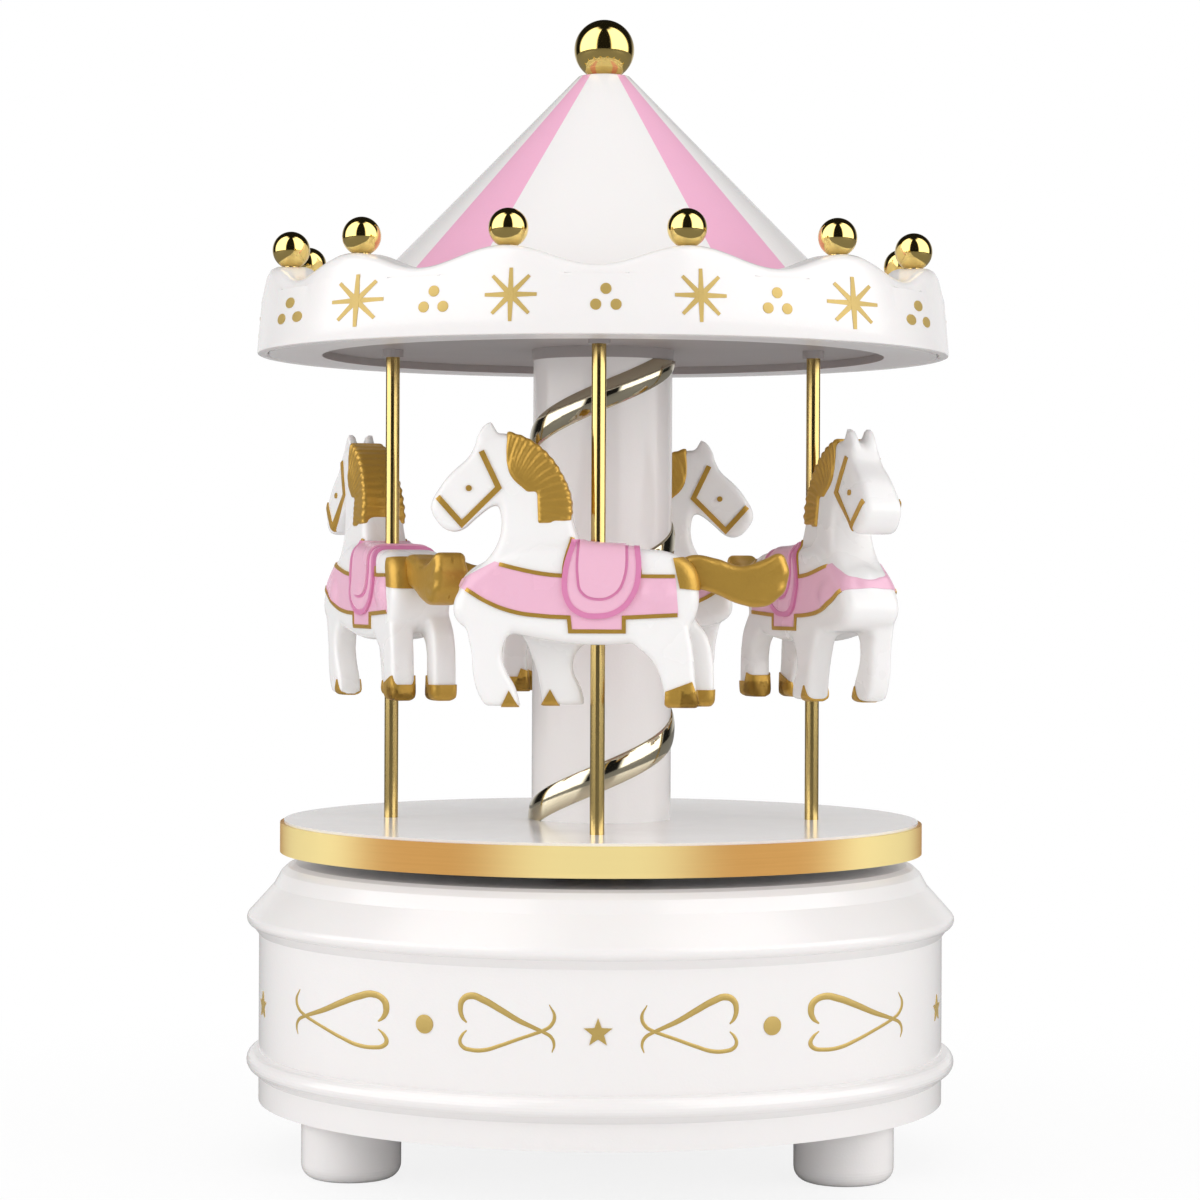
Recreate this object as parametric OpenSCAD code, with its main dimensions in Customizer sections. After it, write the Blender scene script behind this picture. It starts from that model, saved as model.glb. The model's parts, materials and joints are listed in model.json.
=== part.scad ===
// Carousel music box: a wind-up base with a comb movement inside, and a roundabout of four horses on top.
// Origin: centre of the circle that the feet stand on. +Z is up, -Y is the front. Millimetres.

/* [Base] */
// Radius of the straight band of the base
base_r = 53.8; // [52:0.1:58]
// Height of the underside of the base over the floor
base_low = 9.5; // [9:0.1:11.5]
// Height of the flat deck on top of the base
base_top = 46.4; // [46:0.1:50]
// Radius of the flat deck
deck_r = 48.2; // [47:0.1:49]
// Wall thickness of the base shell
base_wall = 2; // [1.6:0.1:2.4]
// How far the rounded mouldings stand out of the band
moulding_out = 1.9; // [1:0.1:2.5]
// Half height of the lower rounded moulding
lip_half = 2; // [1.7:0.05:2.6]
// Height of the lower moulding over the base's underside
lip_rise = 6; // [5.5:0.05:7.5]
// Radius of each foot
foot_r = 7.6; // [6.6:0.05:8]
// How far the feet stand in from the band
foot_inset = 3; // [2.6:0.05:5]
// Thickness of the bottom plate
plate_t = 2; // [1.6:0.1:2.5]
// How far the bottom plate is set up into the base
plate_inset = 2.5; // [2:0.1:3]

/* [Turntable] */
// Radius of the turntable, with its band
table_r = 50.6; // [49:0.1:52]
// Thickness of the turntable
table_t = 5; // [4.5:0.1:6]
// Running gap between the deck and the turntable
table_gap = 1.8; // [1.4:0.1:2.5]
// Thickness of the metal band round the turntable
band_t = 0.6; // [0.4:0.1:1]
// Radius of the column
column_r = 11; // [9:0.1:12]
// Wall of the column
column_wall = 1.8; // [1.2:0.1:2.2]
// Height of the column
column_h = 72.4; // [70:0.1:80]
// Height that the column's spiral strip climbs in a turn
strip_pitch = 29.6; // [26:0.1:34]
// Width of the spiral strip, measured up the column
strip_w = 4.6; // [3:0.1:5.5]
// How far the spiral strip stands out
strip_out = 0.6; // [0.4:0.05:1]
// Radius of the horses' poles
pole_r = 1.1; // [0.9:0.05:1.3]
// Radius of the circle through the poles
pole_ring_r = 33.3; // [32:0.1:35]

/* [Horses] */
// Height of a horse from hoof to ear
horse_h = 42; // [38:0.5:44]
// Height of the hooves over the turntable
hoof_h = 19.2; // [16:0.1:22]
// Thickness of a horse's trunk
trunk_t = 10; // [8.5:0.1:11]
// Thickness of a leg
leg_t = 3.6; // [3:0.1:4]
// Angle by which the two side horses are turned on their poles
side_yaw = 23.5; // [0:0.5:30]

/* [Canopy] */
// Radius of the valance at its lower edge
valance_r = 54.5; // [53:0.1:56]
// How much narrower the valance is at its upper edge
valance_taper = 1.2; // [0.6:0.1:1.6]
// Width of the rim on top of the valance
rim_w = 6.5; // [6:0.1:7]
// Width of the gutter between the rim and the roof
gutter_w = 7.5; // [6:0.1:9]
// Height of the valance at a peak
valance_h = 13.1; // [12.5:0.1:15]
// Depth of the dips between two peaks
dip_depth = 3.2; // [2.4:0.1:3.6]
// Number of peaks, each with a ball
peaks = 12; // [8:1:12]
// Height of the roof cone over the shelf of the valance
roof_h = 36.5; // [32:0.1:40]
// Radius of the roof at its tip
tip_r = 4.1; // [3.6:0.1:5]
// Radius of a small ball
ball_r = 2.9; // [2.4:0.1:3.2]
// How far the small balls stand in from the upper edge
ball_inset = 3.5; // [3:0.1:4]
// Radius of the finial ball
finial_r = 4.75; // [4:0.05:5.5]

/* [Movement] */
// Thickness of the bedplate
bed_t = 2; // [1.8:0.1:2.4]
// Height of the feet of the bedplate
bed_leg = 4; // [3.8:0.1:5]
// Radius of the spring barrel
barrel_r = 12.2; // [11.8:0.1:12.4]
// Height of the spring barrel's wall
barrel_h = 10.3; // [9.8:0.1:11]
// Module of the crown gear and its pinion
crown_m = 0.7; // [0.69:0.005:0.71]
// Module of the governor's gears
train_m = 0.6; // [0.59:0.005:0.61]
// Radius of the tune cylinder
drum_r = 6.4; // [6:0.1:6.6]
// Length of the tune cylinder
drum_len = 20; // [19.5:0.1:20.5]
// Radius of the winding arbor
arbor_r = 1.5; // [1.3:0.05:1.7]
// Radius of the drive spindle
spindle_r = 3; // [2.6:0.05:3.2]
// Radius of the tie rod that holds the roundabout together
rod_r = 1.5; // [1.3:0.05:1.6]
// Width of the winding key
key_w = 19; // [16:0.5:22]

/* [Hidden] */
$fn = 64;

fit = 0.05;       // running clearance on radius
slack = 0.2;      // clearance of parts that are only laid in
thread_fit = 0.02; // clearance of a screw in its thread

// heights in the base
plate_z = base_low + plate_inset;
plate_top = plate_z + plate_t;
bed_z = plate_top + bed_leg;
bed_top = bed_z + bed_t;
deck_z = base_top - base_wall;
lip_z = base_low + lip_rise;
lip_round = 1.6;
nose_z = base_top - 8.4;
nose_low = nose_z - 2.5;
inner_r = base_r - base_wall;
plate_r = inner_r - slack;
foot_ring_r = base_r - foot_inset - foot_r;
boss_r = 3;
boss_ring_r = inner_r - boss_r - 2.8;
boss_screw_r = 1.2;

// barrel and crown gear
crown_n = 40;
pinion_n = 10;
crown_pitch_r = crown_m * crown_n / 2;
crown_face = 2.2;
flange_r = crown_pitch_r + crown_face / 2 + 0.2;
barrel_z = bed_top + 2;
flange_t = 1.2;
crown_root_z = barrel_z + flange_t;
tooth_low = 0.7;
tooth_high = 0.5;
crown_pitch_z = crown_root_z + tooth_low;
pinion_pitch_r = crown_m * pinion_n / 2;
axle_z = crown_pitch_z + pinion_pitch_r + 0.05;
barrel_top = crown_root_z + barrel_h;
lid_t = 1.5;
lid_hub_h = 3;
lid_hub_r = 5;
core_r = arbor_r + 1;
barrel_wall = 1;

// cylinder and governor train
axle_r = 1;
drum_x = crown_pitch_r + 4;
wheel_n = 24;
idler_n = 8;
worm_wheel_n = 16;
wheel_t = 1.2;
wheel_x = drum_x + drum_len + 0.6;
idler_y = -train_m * (wheel_n + idler_n) / 2 - 0.1;
worm_wheel_x = wheel_x + wheel_t + 0.4;
worm_pitch_r = 1.5;
worm_y = idler_y - train_m * worm_wheel_n / 2 - worm_pitch_r - 0.05;
worm_lead = PI * train_m;
worm_h = 7;
worm_r = 0.5;
fan_z = axle_z + 6.3;
fan_h = 5;
fan_w = 9.6;
cheek_t = 1.2;
cheek_top = axle_z + 2.6;
left_lug_x = drum_x - 2;
lug_t = 1.4;
right_lug_x = wheel_x + wheel_t + 1;
bracket_t = 1;
bracket_x = wheel_x - 2;
bracket_w = worm_wheel_x + wheel_t + 0.5 + cheek_t - bracket_x;
bracket_y = worm_y - 7;
arm_z = fan_z + fan_h + 0.8;
axle_len = right_lug_x + lug_t - (crown_pitch_r - crown_face / 2 - 0.1);
comb_n = 18;
comb_pitch = 1;
comb_t = 0.9;
comb_gap = 0.45;
comb_y = drum_r + comb_gap;
comb_heel_y = comb_y + 13.5;
comb_depth = 6.3;
pin_h = 0.3;

// roundabout
table_z = base_top + table_gap;
table_top = table_z + table_t;
hub_r = 8;
bush_r = spindle_r + 1.5;
bush_flange_t = 0.5;
hub_z = base_top + bush_flange_t + 0.1;
head_t = 2;
head_r = 6;
column_top = table_top + column_h;
canopy_z = column_top + 0.5;
ceiling_t = 1.4;
ceiling_rise = 1.2;
ceiling_r = valance_r - 10.2;
ceiling_hub_z = column_top;
shelf_z = canopy_z + 6.4;
shelf_t = 1.6;
valance_top_r = valance_r - valance_taper;
land_r = valance_top_r - rim_w;
roof_r = land_r - gutter_w;
ball_ring_r = valance_top_r - ball_inset;
post_r = 1.8;
centre_post_r = 5;
valance_wall = 1.6;
peak_z = canopy_z + valance_h;
dip_w = valance_top_r * sin(360 / peaks / 2) * 0.68;
dip_r = (dip_w * dip_w + dip_depth * dip_depth) / (2 * dip_depth);
roof_z = shelf_z + shelf_t;
roof_wall = 1.6;
roof_top = roof_z + roof_h;
ball_seat = 0.35;
ball_z = peak_z + 0.05 + ball_r - ball_seat;
finial_z = roof_top + finial_r * 0.9;
pole_socket = 3.5;
pole_low = table_top - pole_socket;
pole_top = canopy_z + ceiling_rise + ceiling_t;
// Turns that the strip makes from its lower end to the side where it ends, just past the top
strip_turns = (column_h + 1.2) / strip_pitch;
hoof_z = table_top + hoof_h;
horse_k = horse_h / 42;

white = "white";
gold = "goldenrod";
steel = "silver";
brass = "darkkhaki";

// one list of points round a circle arc, in the plane of a profile
function arc(cx, cy, r, a0, a1, n = 8) =
  [for (i = [0:n]) [cx + r * cos(a0 + (a1 - a0) * i / n), cy + r * sin(a0 + (a1 - a0) * i / n)]];

// copies at n places round the axis
module ring(n, r, start = 0) {
  for (i = [0:n - 1]) rotate(start + i * 360 / n) translate([r, 0, 0]) children();
}

module pan_screw(r, length, head, head_h) {
  cylinder(h = length, r = r);
  translate([0, 0, -head_h]) difference() {
    cylinder(h = head_h, r = head);
    translate([-head, -0.25, -1]) cube([2 * head, 0.5, 1.5]);
  }
}

// ---------- gear shapes ----------

function involute(a) = tan(a) * 180 / PI - a;

// half angle of a tooth at radius r
function flank(r, n, rp, thin) =
  let (rb = rp * cos(20)) 90 / n - thin + involute(20) - involute(acos(min(1, rb / r)));

module spur_shape(n, m, high, low, thin) {
  rp = m * n / 2;
  rb = rp * cos(20);
  radii = [rp - low, max(rb, rp - low + 0.05), rp, rp + high * 0.55, rp + high];
  polygon([
    for (i = [0:n - 1]) each concat(
      [for (r = radii) let (a = i * 360 / n - flank(r, n, rp, thin)) [r * cos(a), r * sin(a)]],
      [for (k = [4:-1:0]) let (r = radii[k], a = i * 360 / n + flank(r, n, rp, thin)) [r * cos(a), r * sin(a)]]
    )
  ]);
}

// turns a shape drawn in XY so that its axis lies along +X, at a place in the base
module along_x(x, y = 0, z = axle_z) {
  translate([x, y, z]) rotate([90, 0, 90]) children();
}

// ---------- base ----------

module base_profile() {
  slope_w = base_r - deck_r;
  difference() {
    union() {
      polygon(concat(
        [[0, base_low], [base_r, base_low], [base_r, nose_low]],
        arc(base_r + moulding_out - 1.2, nose_z, 1.2, -75, 35),
        [[deck_r + 3.3, base_top - 3.3], [deck_r + 2.75, base_top - 2.3], [deck_r + 2.2, base_top - 1.3],
         [deck_r + 1.2, base_top - 0.4], [deck_r, base_top], [0, base_top]]
      ));
      polygon(concat(
        [[base_r - 1, lip_z + lip_half], [base_r, lip_z + lip_half]],
        arc(base_r + moulding_out - lip_round, lip_z + 0.3, lip_round, 65, -60),
        [[base_r, lip_z - lip_half], [base_r - 1, lip_z - lip_half]]
      ));
    }
    polygon([
      [0, base_low - 1], [inner_r, base_low - 1], [inner_r, nose_z - 0.5],
      [inner_r - slope_w, deck_z], [0, deck_z]
    ]);
  }
}

module base_shell() {
  color(white) difference() {
    union() {
      rotate_extrude($fn = 128) base_profile();
      ring(3, boss_ring_r, 45) translate([0, 0, plate_top]) cylinder(h = deck_z - plate_top + 0.5, r = boss_r);
    }
    translate([0, 0, deck_z - 1]) cylinder(h = 5, r = bush_r);
    ring(3, boss_ring_r, 45) translate([0, 0, plate_top - 1]) cylinder(h = 12, r = boss_screw_r + thread_fit);
  }
}

foot_peg_r = 2.5;
bed_screw_places = [[-11, 11], [-11, -11], [25, -18.5], [28, 17.3]];

module bottom_plate() {
  color(white) difference() {
    translate([0, 0, plate_z]) cylinder(h = plate_t, r = plate_r, $fn = 128);
    translate([0, 0, plate_z - 1]) {
      cylinder(h = plate_t + 2, r = arbor_r + 2.5);
      ring(3, boss_ring_r, 45) cylinder(h = plate_t + 2, r = boss_screw_r + slack);
      ring(3, foot_ring_r, 90) cylinder(h = plate_t + 2, r = foot_peg_r);
      for (p = bed_screw_places) translate(p) cylinder(h = plate_t + 2, r = boss_screw_r + slack);
      for (k = [0:5]) rotate(150 + k * 12) translate([26, 0, 0]) cylinder(h = plate_t + 2, r = 1.5);
    }
  }
}

module foot(place) {
  round_r = 2.3;
  color(white) rotate(place) translate([foot_ring_r, 0, 0]) {
    rotate_extrude() polygon(concat(
      [[0, 0]], arc(foot_r - round_r, round_r, round_r, -90, 0), [[foot_r, plate_z], [0, plate_z]]
    ));
    translate([0, 0, plate_z - 0.5]) cylinder(h = plate_t + 0.5, r = foot_peg_r - 0.02);
  }
}

module bottom_screws() {
  color(steel) ring(3, boss_ring_r, 45)
    translate([0, 0, plate_z]) pan_screw(boss_screw_r, 8, 2.3, 1.3);
}

module spindle_bush() {
  color(brass) difference() {
    union() {
      translate([0, 0, deck_z - 1]) cylinder(h = base_wall + 1, r = bush_r - 0.02);
      translate([0, 0, base_top]) cylinder(h = bush_flange_t, r = bush_r + 1.5);
    }
    translate([0, 0, deck_z - 2]) cylinder(h = 8, r = spindle_r + fit);
  }
}

// ---------- movement, fixed pieces ----------

module bedplate() {
  far_x = bracket_x + bracket_w + 0.4;
  comb_x = drum_x + drum_len + 0.6;
  near_y = bracket_y - 0.2;
  color(steel) difference() {
    union() {
      translate([0, 0, bed_z]) {
        cylinder(h = bed_t, r = 18);
        translate([0, near_y, 0]) cube([far_x, drum_r + 2 - near_y, bed_t]);
        cube([comb_x, comb_heel_y + comb_depth, bed_t]);
      }
      for (p = bed_screw_places) translate([p[0], p[1], plate_top]) cylinder(h = bed_leg + 0.5, r = 3);
      translate([0, 0, bed_top - 0.5]) cylinder(h = 1.9, r = 4);
      for (x = [left_lug_x, right_lug_x])
        translate([x, -3, bed_top - 0.5]) cube([lug_t, 6, axle_z + 3 - bed_top + 0.5]);
      translate([drum_x, comb_heel_y, bed_top - 0.5])
        cube([drum_len, comb_depth, axle_z - comb_t / 2 - bed_top + 0.5]);
    }
    translate([0, 0, bed_z - 1]) cylinder(h = 8, r = arbor_r + fit);
    along_x(left_lug_x - 1) cylinder(h = lug_t + 2, r = axle_r + fit);
    along_x(right_lug_x - 1) cylinder(h = lug_t + 2, r = axle_r + fit);
    translate([wheel_x - 0.8, -6, bed_z - 1]) cube([wheel_t + 1.6, 12, bed_t + 2]);
    for (p = bed_screw_places) translate([p[0], p[1], plate_top - 1])
      cylinder(h = bed_leg + bed_t + 2, r = boss_screw_r + thread_fit);
    for (x = comb_screw_x) translate([x, comb_screw_y, bed_top])
      cylinder(h = 20, r = boss_screw_r + thread_fit);
    translate([bracket_screw[0], bracket_screw[1], bed_z - 1]) cylinder(h = 5, r = 1 + thread_fit);
  }
}

comb_screw_x = [drum_x + 5, drum_x + 15];
comb_screw_y = comb_heel_y + comb_depth / 2;
bracket_screw = [bracket_x + 2, bracket_y + 3.2];

module bedplate_screws() {
  color(steel) for (p = bed_screw_places)
    translate([p[0], p[1], plate_z]) pan_screw(boss_screw_r, plate_t + bed_leg + bed_t - 0.2, 2.3, 1.3);
}

// a steel comb: each tooth is a free reed, longer for the low notes
module comb() {
  tooth_w = comb_pitch * 0.78;
  x0 = drum_x + (drum_len - comb_n * comb_pitch) / 2;
  color("lightgray") translate([0, 0, axle_z - comb_t / 2]) difference() {
    union() {
      translate([drum_x, comb_heel_y, 0]) cube([drum_len, comb_depth, comb_t]);
      for (i = [0:comb_n - 1]) {
        root_y = comb_heel_y - 5.5 + 5 * i / comb_n;
        translate([x0 + i * comb_pitch, comb_y, 0]) cube([tooth_w, comb_heel_y - comb_y + 0.1, comb_t * 0.5]);
        translate([x0 + i * comb_pitch, root_y, 0]) cube([comb_pitch, comb_heel_y - root_y + 0.1, comb_t]);
      }
    }
    for (x = comb_screw_x) translate([x, comb_screw_y, -1]) cylinder(h = 4, r = boss_screw_r + 0.1);
  }
}

module comb_screws() {
  color(steel) for (x = comb_screw_x)
    translate([x, comb_screw_y, axle_z + comb_t / 2]) mirror([0, 0, 1]) pan_screw(boss_screw_r, 5.5, 2.2, 1.3);
}

module governor_bracket() {
  span = bracket_w;
  back_w = 4;
  color(brass) difference() {
    union() {
      translate([bracket_x, bracket_y, bed_top]) cube([span, idler_y + 3 - bracket_y, bracket_t]);
      for (x = [bracket_x, bracket_x + span - cheek_t])
        translate([x, idler_y - 2, bed_top + bracket_t - 0.1]) cube([cheek_t, 4.4, cheek_top - bed_top - bracket_t]);
      translate([worm_wheel_x + wheel_t / 2 - back_w / 2, bracket_y, bed_top])
        cube([back_w, 1, arm_z - bed_top + cheek_t]);
      translate([worm_wheel_x + wheel_t / 2 - back_w / 2, bracket_y, arm_z])
        cube([back_w, worm_y + 2 - bracket_y, cheek_t]);
    }
    along_x(bracket_x - 1, idler_y) cylinder(h = span + 2, r = axle_r - 0.3 + fit);
    translate([worm_wheel_x + wheel_t / 2, worm_y, bed_top + 0.3]) cylinder(h = 40, r = worm_r + fit);
    translate([bracket_screw[0], bracket_screw[1], bed_top - 1]) cylinder(h = 4, r = 1.1);
  }
}

module bracket_screw() {
  color(steel) translate([bracket_screw[0], bracket_screw[1], bed_top + bracket_t])
    mirror([0, 0, 1]) pan_screw(1, bracket_t + bed_t - 0.3, 1.8, 1);
}

// a tight one-way coil that grips the arbor's collar, with a tail up to the bedplate
collar_r = arbor_r + 0.9;
wire_r = 0.3;
click_turns = 4;
click_z = bed_z - click_turns * wire_r * 1.8 - 0.3;

module click_spring() {
  coil_r = collar_r + fit + wire_r;
  color(steel) {
    for (i = [0:click_turns - 1]) translate([0, 0, click_z + wire_r + i * wire_r * 1.8])
      rotate_extrude() translate([coil_r, 0]) circle(r = wire_r, $fn = 16);
    translate([coil_r, 0, click_z + wire_r]) cylinder(h = bed_z - click_z - wire_r, r = wire_r, $fn = 16);
  }
}

// ---------- winding ----------

key_z = 1.3;
key_hub_r = 2.6;
key_hub_top = plate_z - 1;

module winding_key() {
  wing = key_w / 2 - 3.7;
  color(gold) difference() {
    union() {
      translate([0, 0, key_z + 3]) cylinder(h = key_hub_top - key_z - 3, r = key_hub_r);
      for (s = [-1, 1]) rotate([90, 0, 0]) translate([0, 0, -0.7]) linear_extrude(1.4)
        difference() {
          union() {
            translate([s * wing, key_z + 3.7]) circle(r = 3.7);
            translate([s > 0 ? 0 : -wing, key_z + 2.3]) square([wing, 2.8]);
          }
          translate([s * wing, key_z + 3.7]) circle(r = 1.7);
        }
    }
    translate([0, 0, key_z + 4]) cylinder(h = 10, r = arbor_r + thread_fit);
  }
}

module winding_arbor() {
  color(steel) {
    translate([0, 0, key_z + 4.2]) cylinder(h = barrel_top - key_z - 4.3, r = arbor_r);
    translate([0, 0, click_z]) cylinder(h = bed_z - click_z - 0.1, r = collar_r);
    translate([0, 0, crown_root_z + 0.1]) cylinder(h = barrel_h - 0.3, r = core_r);
    translate([0, 0, barrel_top - 0.5]) cylinder(h = lid_t + 0.7, r = arbor_r - 0.3);
  }
}

module spring_barrel() {
  color(brass) difference() {
    union() {
      translate([0, 0, barrel_z]) cylinder(h = flange_t, r = flange_r);
      translate([0, 0, barrel_z]) cylinder(h = flange_t + barrel_h, r = barrel_r);
      for (i = [0:crown_n - 1]) rotate(i * 360 / crown_n)
        along_x(crown_pitch_r - crown_face / 2, 0, crown_pitch_z) linear_extrude(crown_face)
          polygon([[-0.62, -tooth_low - 0.1], [0.62, -tooth_low - 0.1], [0.24, tooth_high], [-0.24, tooth_high]]);
    }
    translate([0, 0, crown_root_z]) cylinder(h = barrel_h + 1, r = barrel_r - barrel_wall);
    translate([0, 0, barrel_z - 1]) cylinder(h = 5, r = arbor_r + fit);
  }
}

spring_t = 0.25;
coils = 9;

function coil_point(t, out) =
  let (r = core_r + 0.3 + (barrel_r - barrel_wall - core_r - 0.3 - 2 * spring_t) * t / coils + out)
  [r * cos(360 * t), r * sin(360 * t)];

module mainspring() {
  steps = coils * 20;
  color(steel) translate([0, 0, crown_root_z + 0.4]) linear_extrude(barrel_h - 0.9) polygon(concat(
    [for (i = [0:steps]) coil_point(i / 20, 0)],
    [for (i = [steps:-1:0]) coil_point(i / 20, spring_t)]
  ));
}

module barrel_lid() {
  color(brass) translate([0, 0, barrel_top]) difference() {
    union() {
      cylinder(h = lid_t, r = barrel_r);
      cylinder(h = lid_t + lid_hub_h, r = lid_hub_r);
    }
    translate([0, 0, -1]) cylinder(h = lid_t + 1, r = arbor_r - 0.3 + fit);
    translate([0, 0, lid_t]) cylinder(h = lid_hub_h + 1, r = spindle_r + 0.01);
  }
}

module drive_spindle() {
  low = barrel_top + lid_t;
  color(steel) difference() {
    union() {
      translate([0, 0, low]) cylinder(h = table_top - low - 0.5, r = spindle_r);
      translate([0, 0, table_top - head_t]) cylinder(h = head_t, r = head_r, $fn = 6);
    }
    translate([0, 0, low - 1]) cylinder(h = 1.6, r = arbor_r - 0.3 + fit);
    translate([0, 0, table_top - 5]) cylinder(h = 6, r = rod_r + thread_fit);
  }
}

// ---------- tune cylinder and governor train ----------

// a simple rising and falling tune: the step at which each track is plucked
function tune_step(track, k) = (track * 7 + k * 5 + (track % 3) * k) % 24;

module tune_cylinder() {
  x0 = (drum_len - comb_n * comb_pitch) / 2 + comb_pitch * 0.39;
  color(brass) along_x(drum_x) {
    difference() {
      cylinder(h = drum_len, r = drum_r);
      translate([0, 0, -1]) cylinder(h = drum_len + 2, r = axle_r + 0.01);
    }
    for (track = [0:comb_n - 1], k = [0:2]) rotate(tune_step(track, k) * 15 + 7)
      translate([drum_r - 0.3, 0, x0 + track * comb_pitch]) rotate([0, 90, 0])
        cylinder(h = pin_h + 0.3, r = 0.15, $fn = 16);
  }
}

module cylinder_arbor() {
  color(steel) along_x(right_lug_x + lug_t - axle_len) cylinder(h = axle_len, r = axle_r);
}

module crown_pinion() {
  color(brass) along_x(crown_pitch_r - crown_face / 2) difference() {
    linear_extrude(crown_face) spur_shape(pinion_n, crown_m, tooth_high, tooth_low, 2.6);
    translate([0, 0, -1]) cylinder(h = crown_face + 2, r = axle_r + 0.01);
  }
}

module cylinder_wheel() {
  color(brass) along_x(wheel_x) difference() {
    linear_extrude(wheel_t) spur_shape(wheel_n, train_m, 0.45, 0.65, 0.6);
    translate([0, 0, -1]) cylinder(h = wheel_t + 2, r = axle_r + 0.01);
  }
}

idler_r = axle_r - 0.3;

module idler_arbor() {
  color(steel) along_x(bracket_x + 0.1, idler_y) cylinder(h = bracket_w - 0.2, r = idler_r);
}

module idler_pinion() {
  color(brass) along_x(wheel_x - 0.1, idler_y) difference() {
    linear_extrude(wheel_t + 0.2) rotate(180 / idler_n) spur_shape(idler_n, train_m, 0.45, 0.65, 1.8);
    translate([0, 0, -1]) cylinder(h = wheel_t + 3, r = idler_r + 0.01);
  }
}

module worm_wheel() {
  color(brass) along_x(worm_wheel_x, idler_y) difference() {
    linear_extrude(wheel_t) rotate(180 / worm_wheel_n) spur_shape(worm_wheel_n, train_m, 0.35, 0.6, 1.8);
    translate([0, 0, -1]) cylinder(h = wheel_t + 2, r = idler_r + 0.01);
  }
}

// radius of the worm's section at an angle: a single thread when it is twisted up the axis
function worm_section(a) =
  let (d = abs(a), tip = worm_pitch_r + 0.4, root = worm_pitch_r - 0.5)
  d < 35 ? tip : d > 95 ? root : tip + (root - tip) * (d - 35) / 60;

module governor_worm() {
  low = axle_z - worm_h / 2;
  turns = worm_h / worm_lead;
  color(steel) translate([worm_wheel_x + wheel_t / 2, worm_y, 0]) {
    translate([0, 0, low]) rotate(90 - 360 * turns / 2)
      linear_extrude(worm_h, twist = -360 * turns, slices = 48, $fn = 12) polygon([
        for (a = [-180:30:150]) [worm_section(a) * cos(a), worm_section(a) * sin(a)]
      ]);
    translate([0, 0, bed_top + 0.4]) cylinder(h = arm_z + cheek_t - 0.2 - bed_top - 0.4, r = worm_r);
  }
}

module governor_fan() {
  color("gray") translate([worm_wheel_x + wheel_t / 2, worm_y, fan_z]) difference() {
    union() {
      cylinder(h = fan_h, r = 1.3);
      translate([-fan_w / 2, -0.35, 0.4]) cube([fan_w, 0.7, fan_h - 0.8]);
    }
    translate([0, 0, -1]) cylinder(h = fan_h + 2, r = worm_r + 0.01);
  }
}

// ---------- roundabout ----------

pole_places = [-90, 180, 90, 0];

module turntable() {
  color(white) difference() {
    union() {
      translate([0, 0, table_z]) cylinder(h = table_t, r = table_r - band_t - 0.02, $fn = 128);
      translate([0, 0, hub_z]) cylinder(h = table_z - hub_z + 0.5, r = hub_r);
      translate([0, 0, table_top - 0.5]) cylinder(h = 2.5, r = column_r - column_wall - 0.1);
    }
    translate([0, 0, hub_z - 1]) cylinder(h = 12, r = spindle_r + 0.02);
    translate([0, 0, table_top - head_t]) cylinder(h = 6, r = head_r + 0.1, $fn = 6);
    ring(4, pole_ring_r) translate([0, 0, pole_low]) cylinder(h = pole_socket + 1, r = pole_r + 0.02);
  }
}

module turntable_band() {
  color(gold) translate([0, 0, table_z]) difference() {
    cylinder(h = table_t - 0.4, r = table_r, $fn = 128);
    translate([0, 0, -1]) cylinder(h = table_t + 1, r = table_r - band_t, $fn = 128);
  }
}

module column() {
  color(white) translate([0, 0, table_top]) difference() {
    cylinder(h = column_h, r = column_r);
    translate([0, 0, -1]) cylinder(h = column_h + 2, r = column_r - column_wall);
  }
}

module spiral_strip() {
  inner = column_r + 0.12;
  half = strip_w / strip_pitch * 180; // half of the strip's width, as a turn in degrees
  low = table_top + 0.1;
  climb = column_h - 0.2;
  color(gold) translate([0, 0, low]) rotate(-360 * strip_turns)
    linear_extrude(climb, twist = -360 * climb / strip_pitch, slices = 72, $fn = 8) polygon(concat(
      [for (k = [-3:3]) let (a = half * k / 3, r = inner + strip_out * cos(90 * k / 3)) [r * cos(a), r * sin(a)]],
      [for (k = [2:-1:-2]) let (a = half * k / 3) [inner * cos(a), inner * sin(a)]]
    ));
}

module pole(place) {
  color(gold) rotate(place) translate([pole_ring_r, 0, pole_low + 0.1])
    cylinder(h = pole_top - pole_low - 0.1, r = pole_r, $fn = 32);
}

module tie_rod() {
  color(steel) translate([0, 0, table_top - 4.8]) cylinder(h = finial_z - table_top + 4.8, r = rod_r);
}

// ---------- horse: nose towards +X, pole on the Z axis, hooves at z = 0 ----------

module side_plate(points, t, y = 0) {
  translate([0, y + t / 2, 0]) rotate([90, 0, 0]) linear_extrude(t) polygon(points);
}

fore_leg = [[20, 15], [20, 11], [18.7, 9.5], [18.2, 4.4], [17, 0], [11.4, 0], [12.2, 3], [14.2, 7.5], [13, 11], [8, 15]];
far_fore_leg = [[13, 14], [11.5, 10], [9, 6], [8.6, 0], [2.4, 0], [3.4, 5], [2, 10], [3, 14]];
hind_leg = [[-3, 14], [-5.2, 9.2], [-8.2, 6.6], [-9.8, 3.4], [-10, 0], [-14.7, 0], [-14.2, 5], [-14, 12], [-12, 15]];
far_hind_leg = [[-7, 14], [-11, 10], [-13, 6], [-13.6, 1], [-17.6, 1], [-17.2, 6], [-15.5, 11], [-12.5, 15]];
mane_shape = [[13.3, 40.6], [10.2, 39.5], [7.5, 37.3], [5.4, 34.3], [4, 30.8], [3.8, 27.2], [8.6, 26.4], [9, 31.4], [13, 34]];
seat_shape = [[3.2, 23.9], [4.6, 20], [3.4, 16], [-0.6, 13.8], [-4.6, 16], [-5.8, 20], [-5.8, 23.9]];

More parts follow.
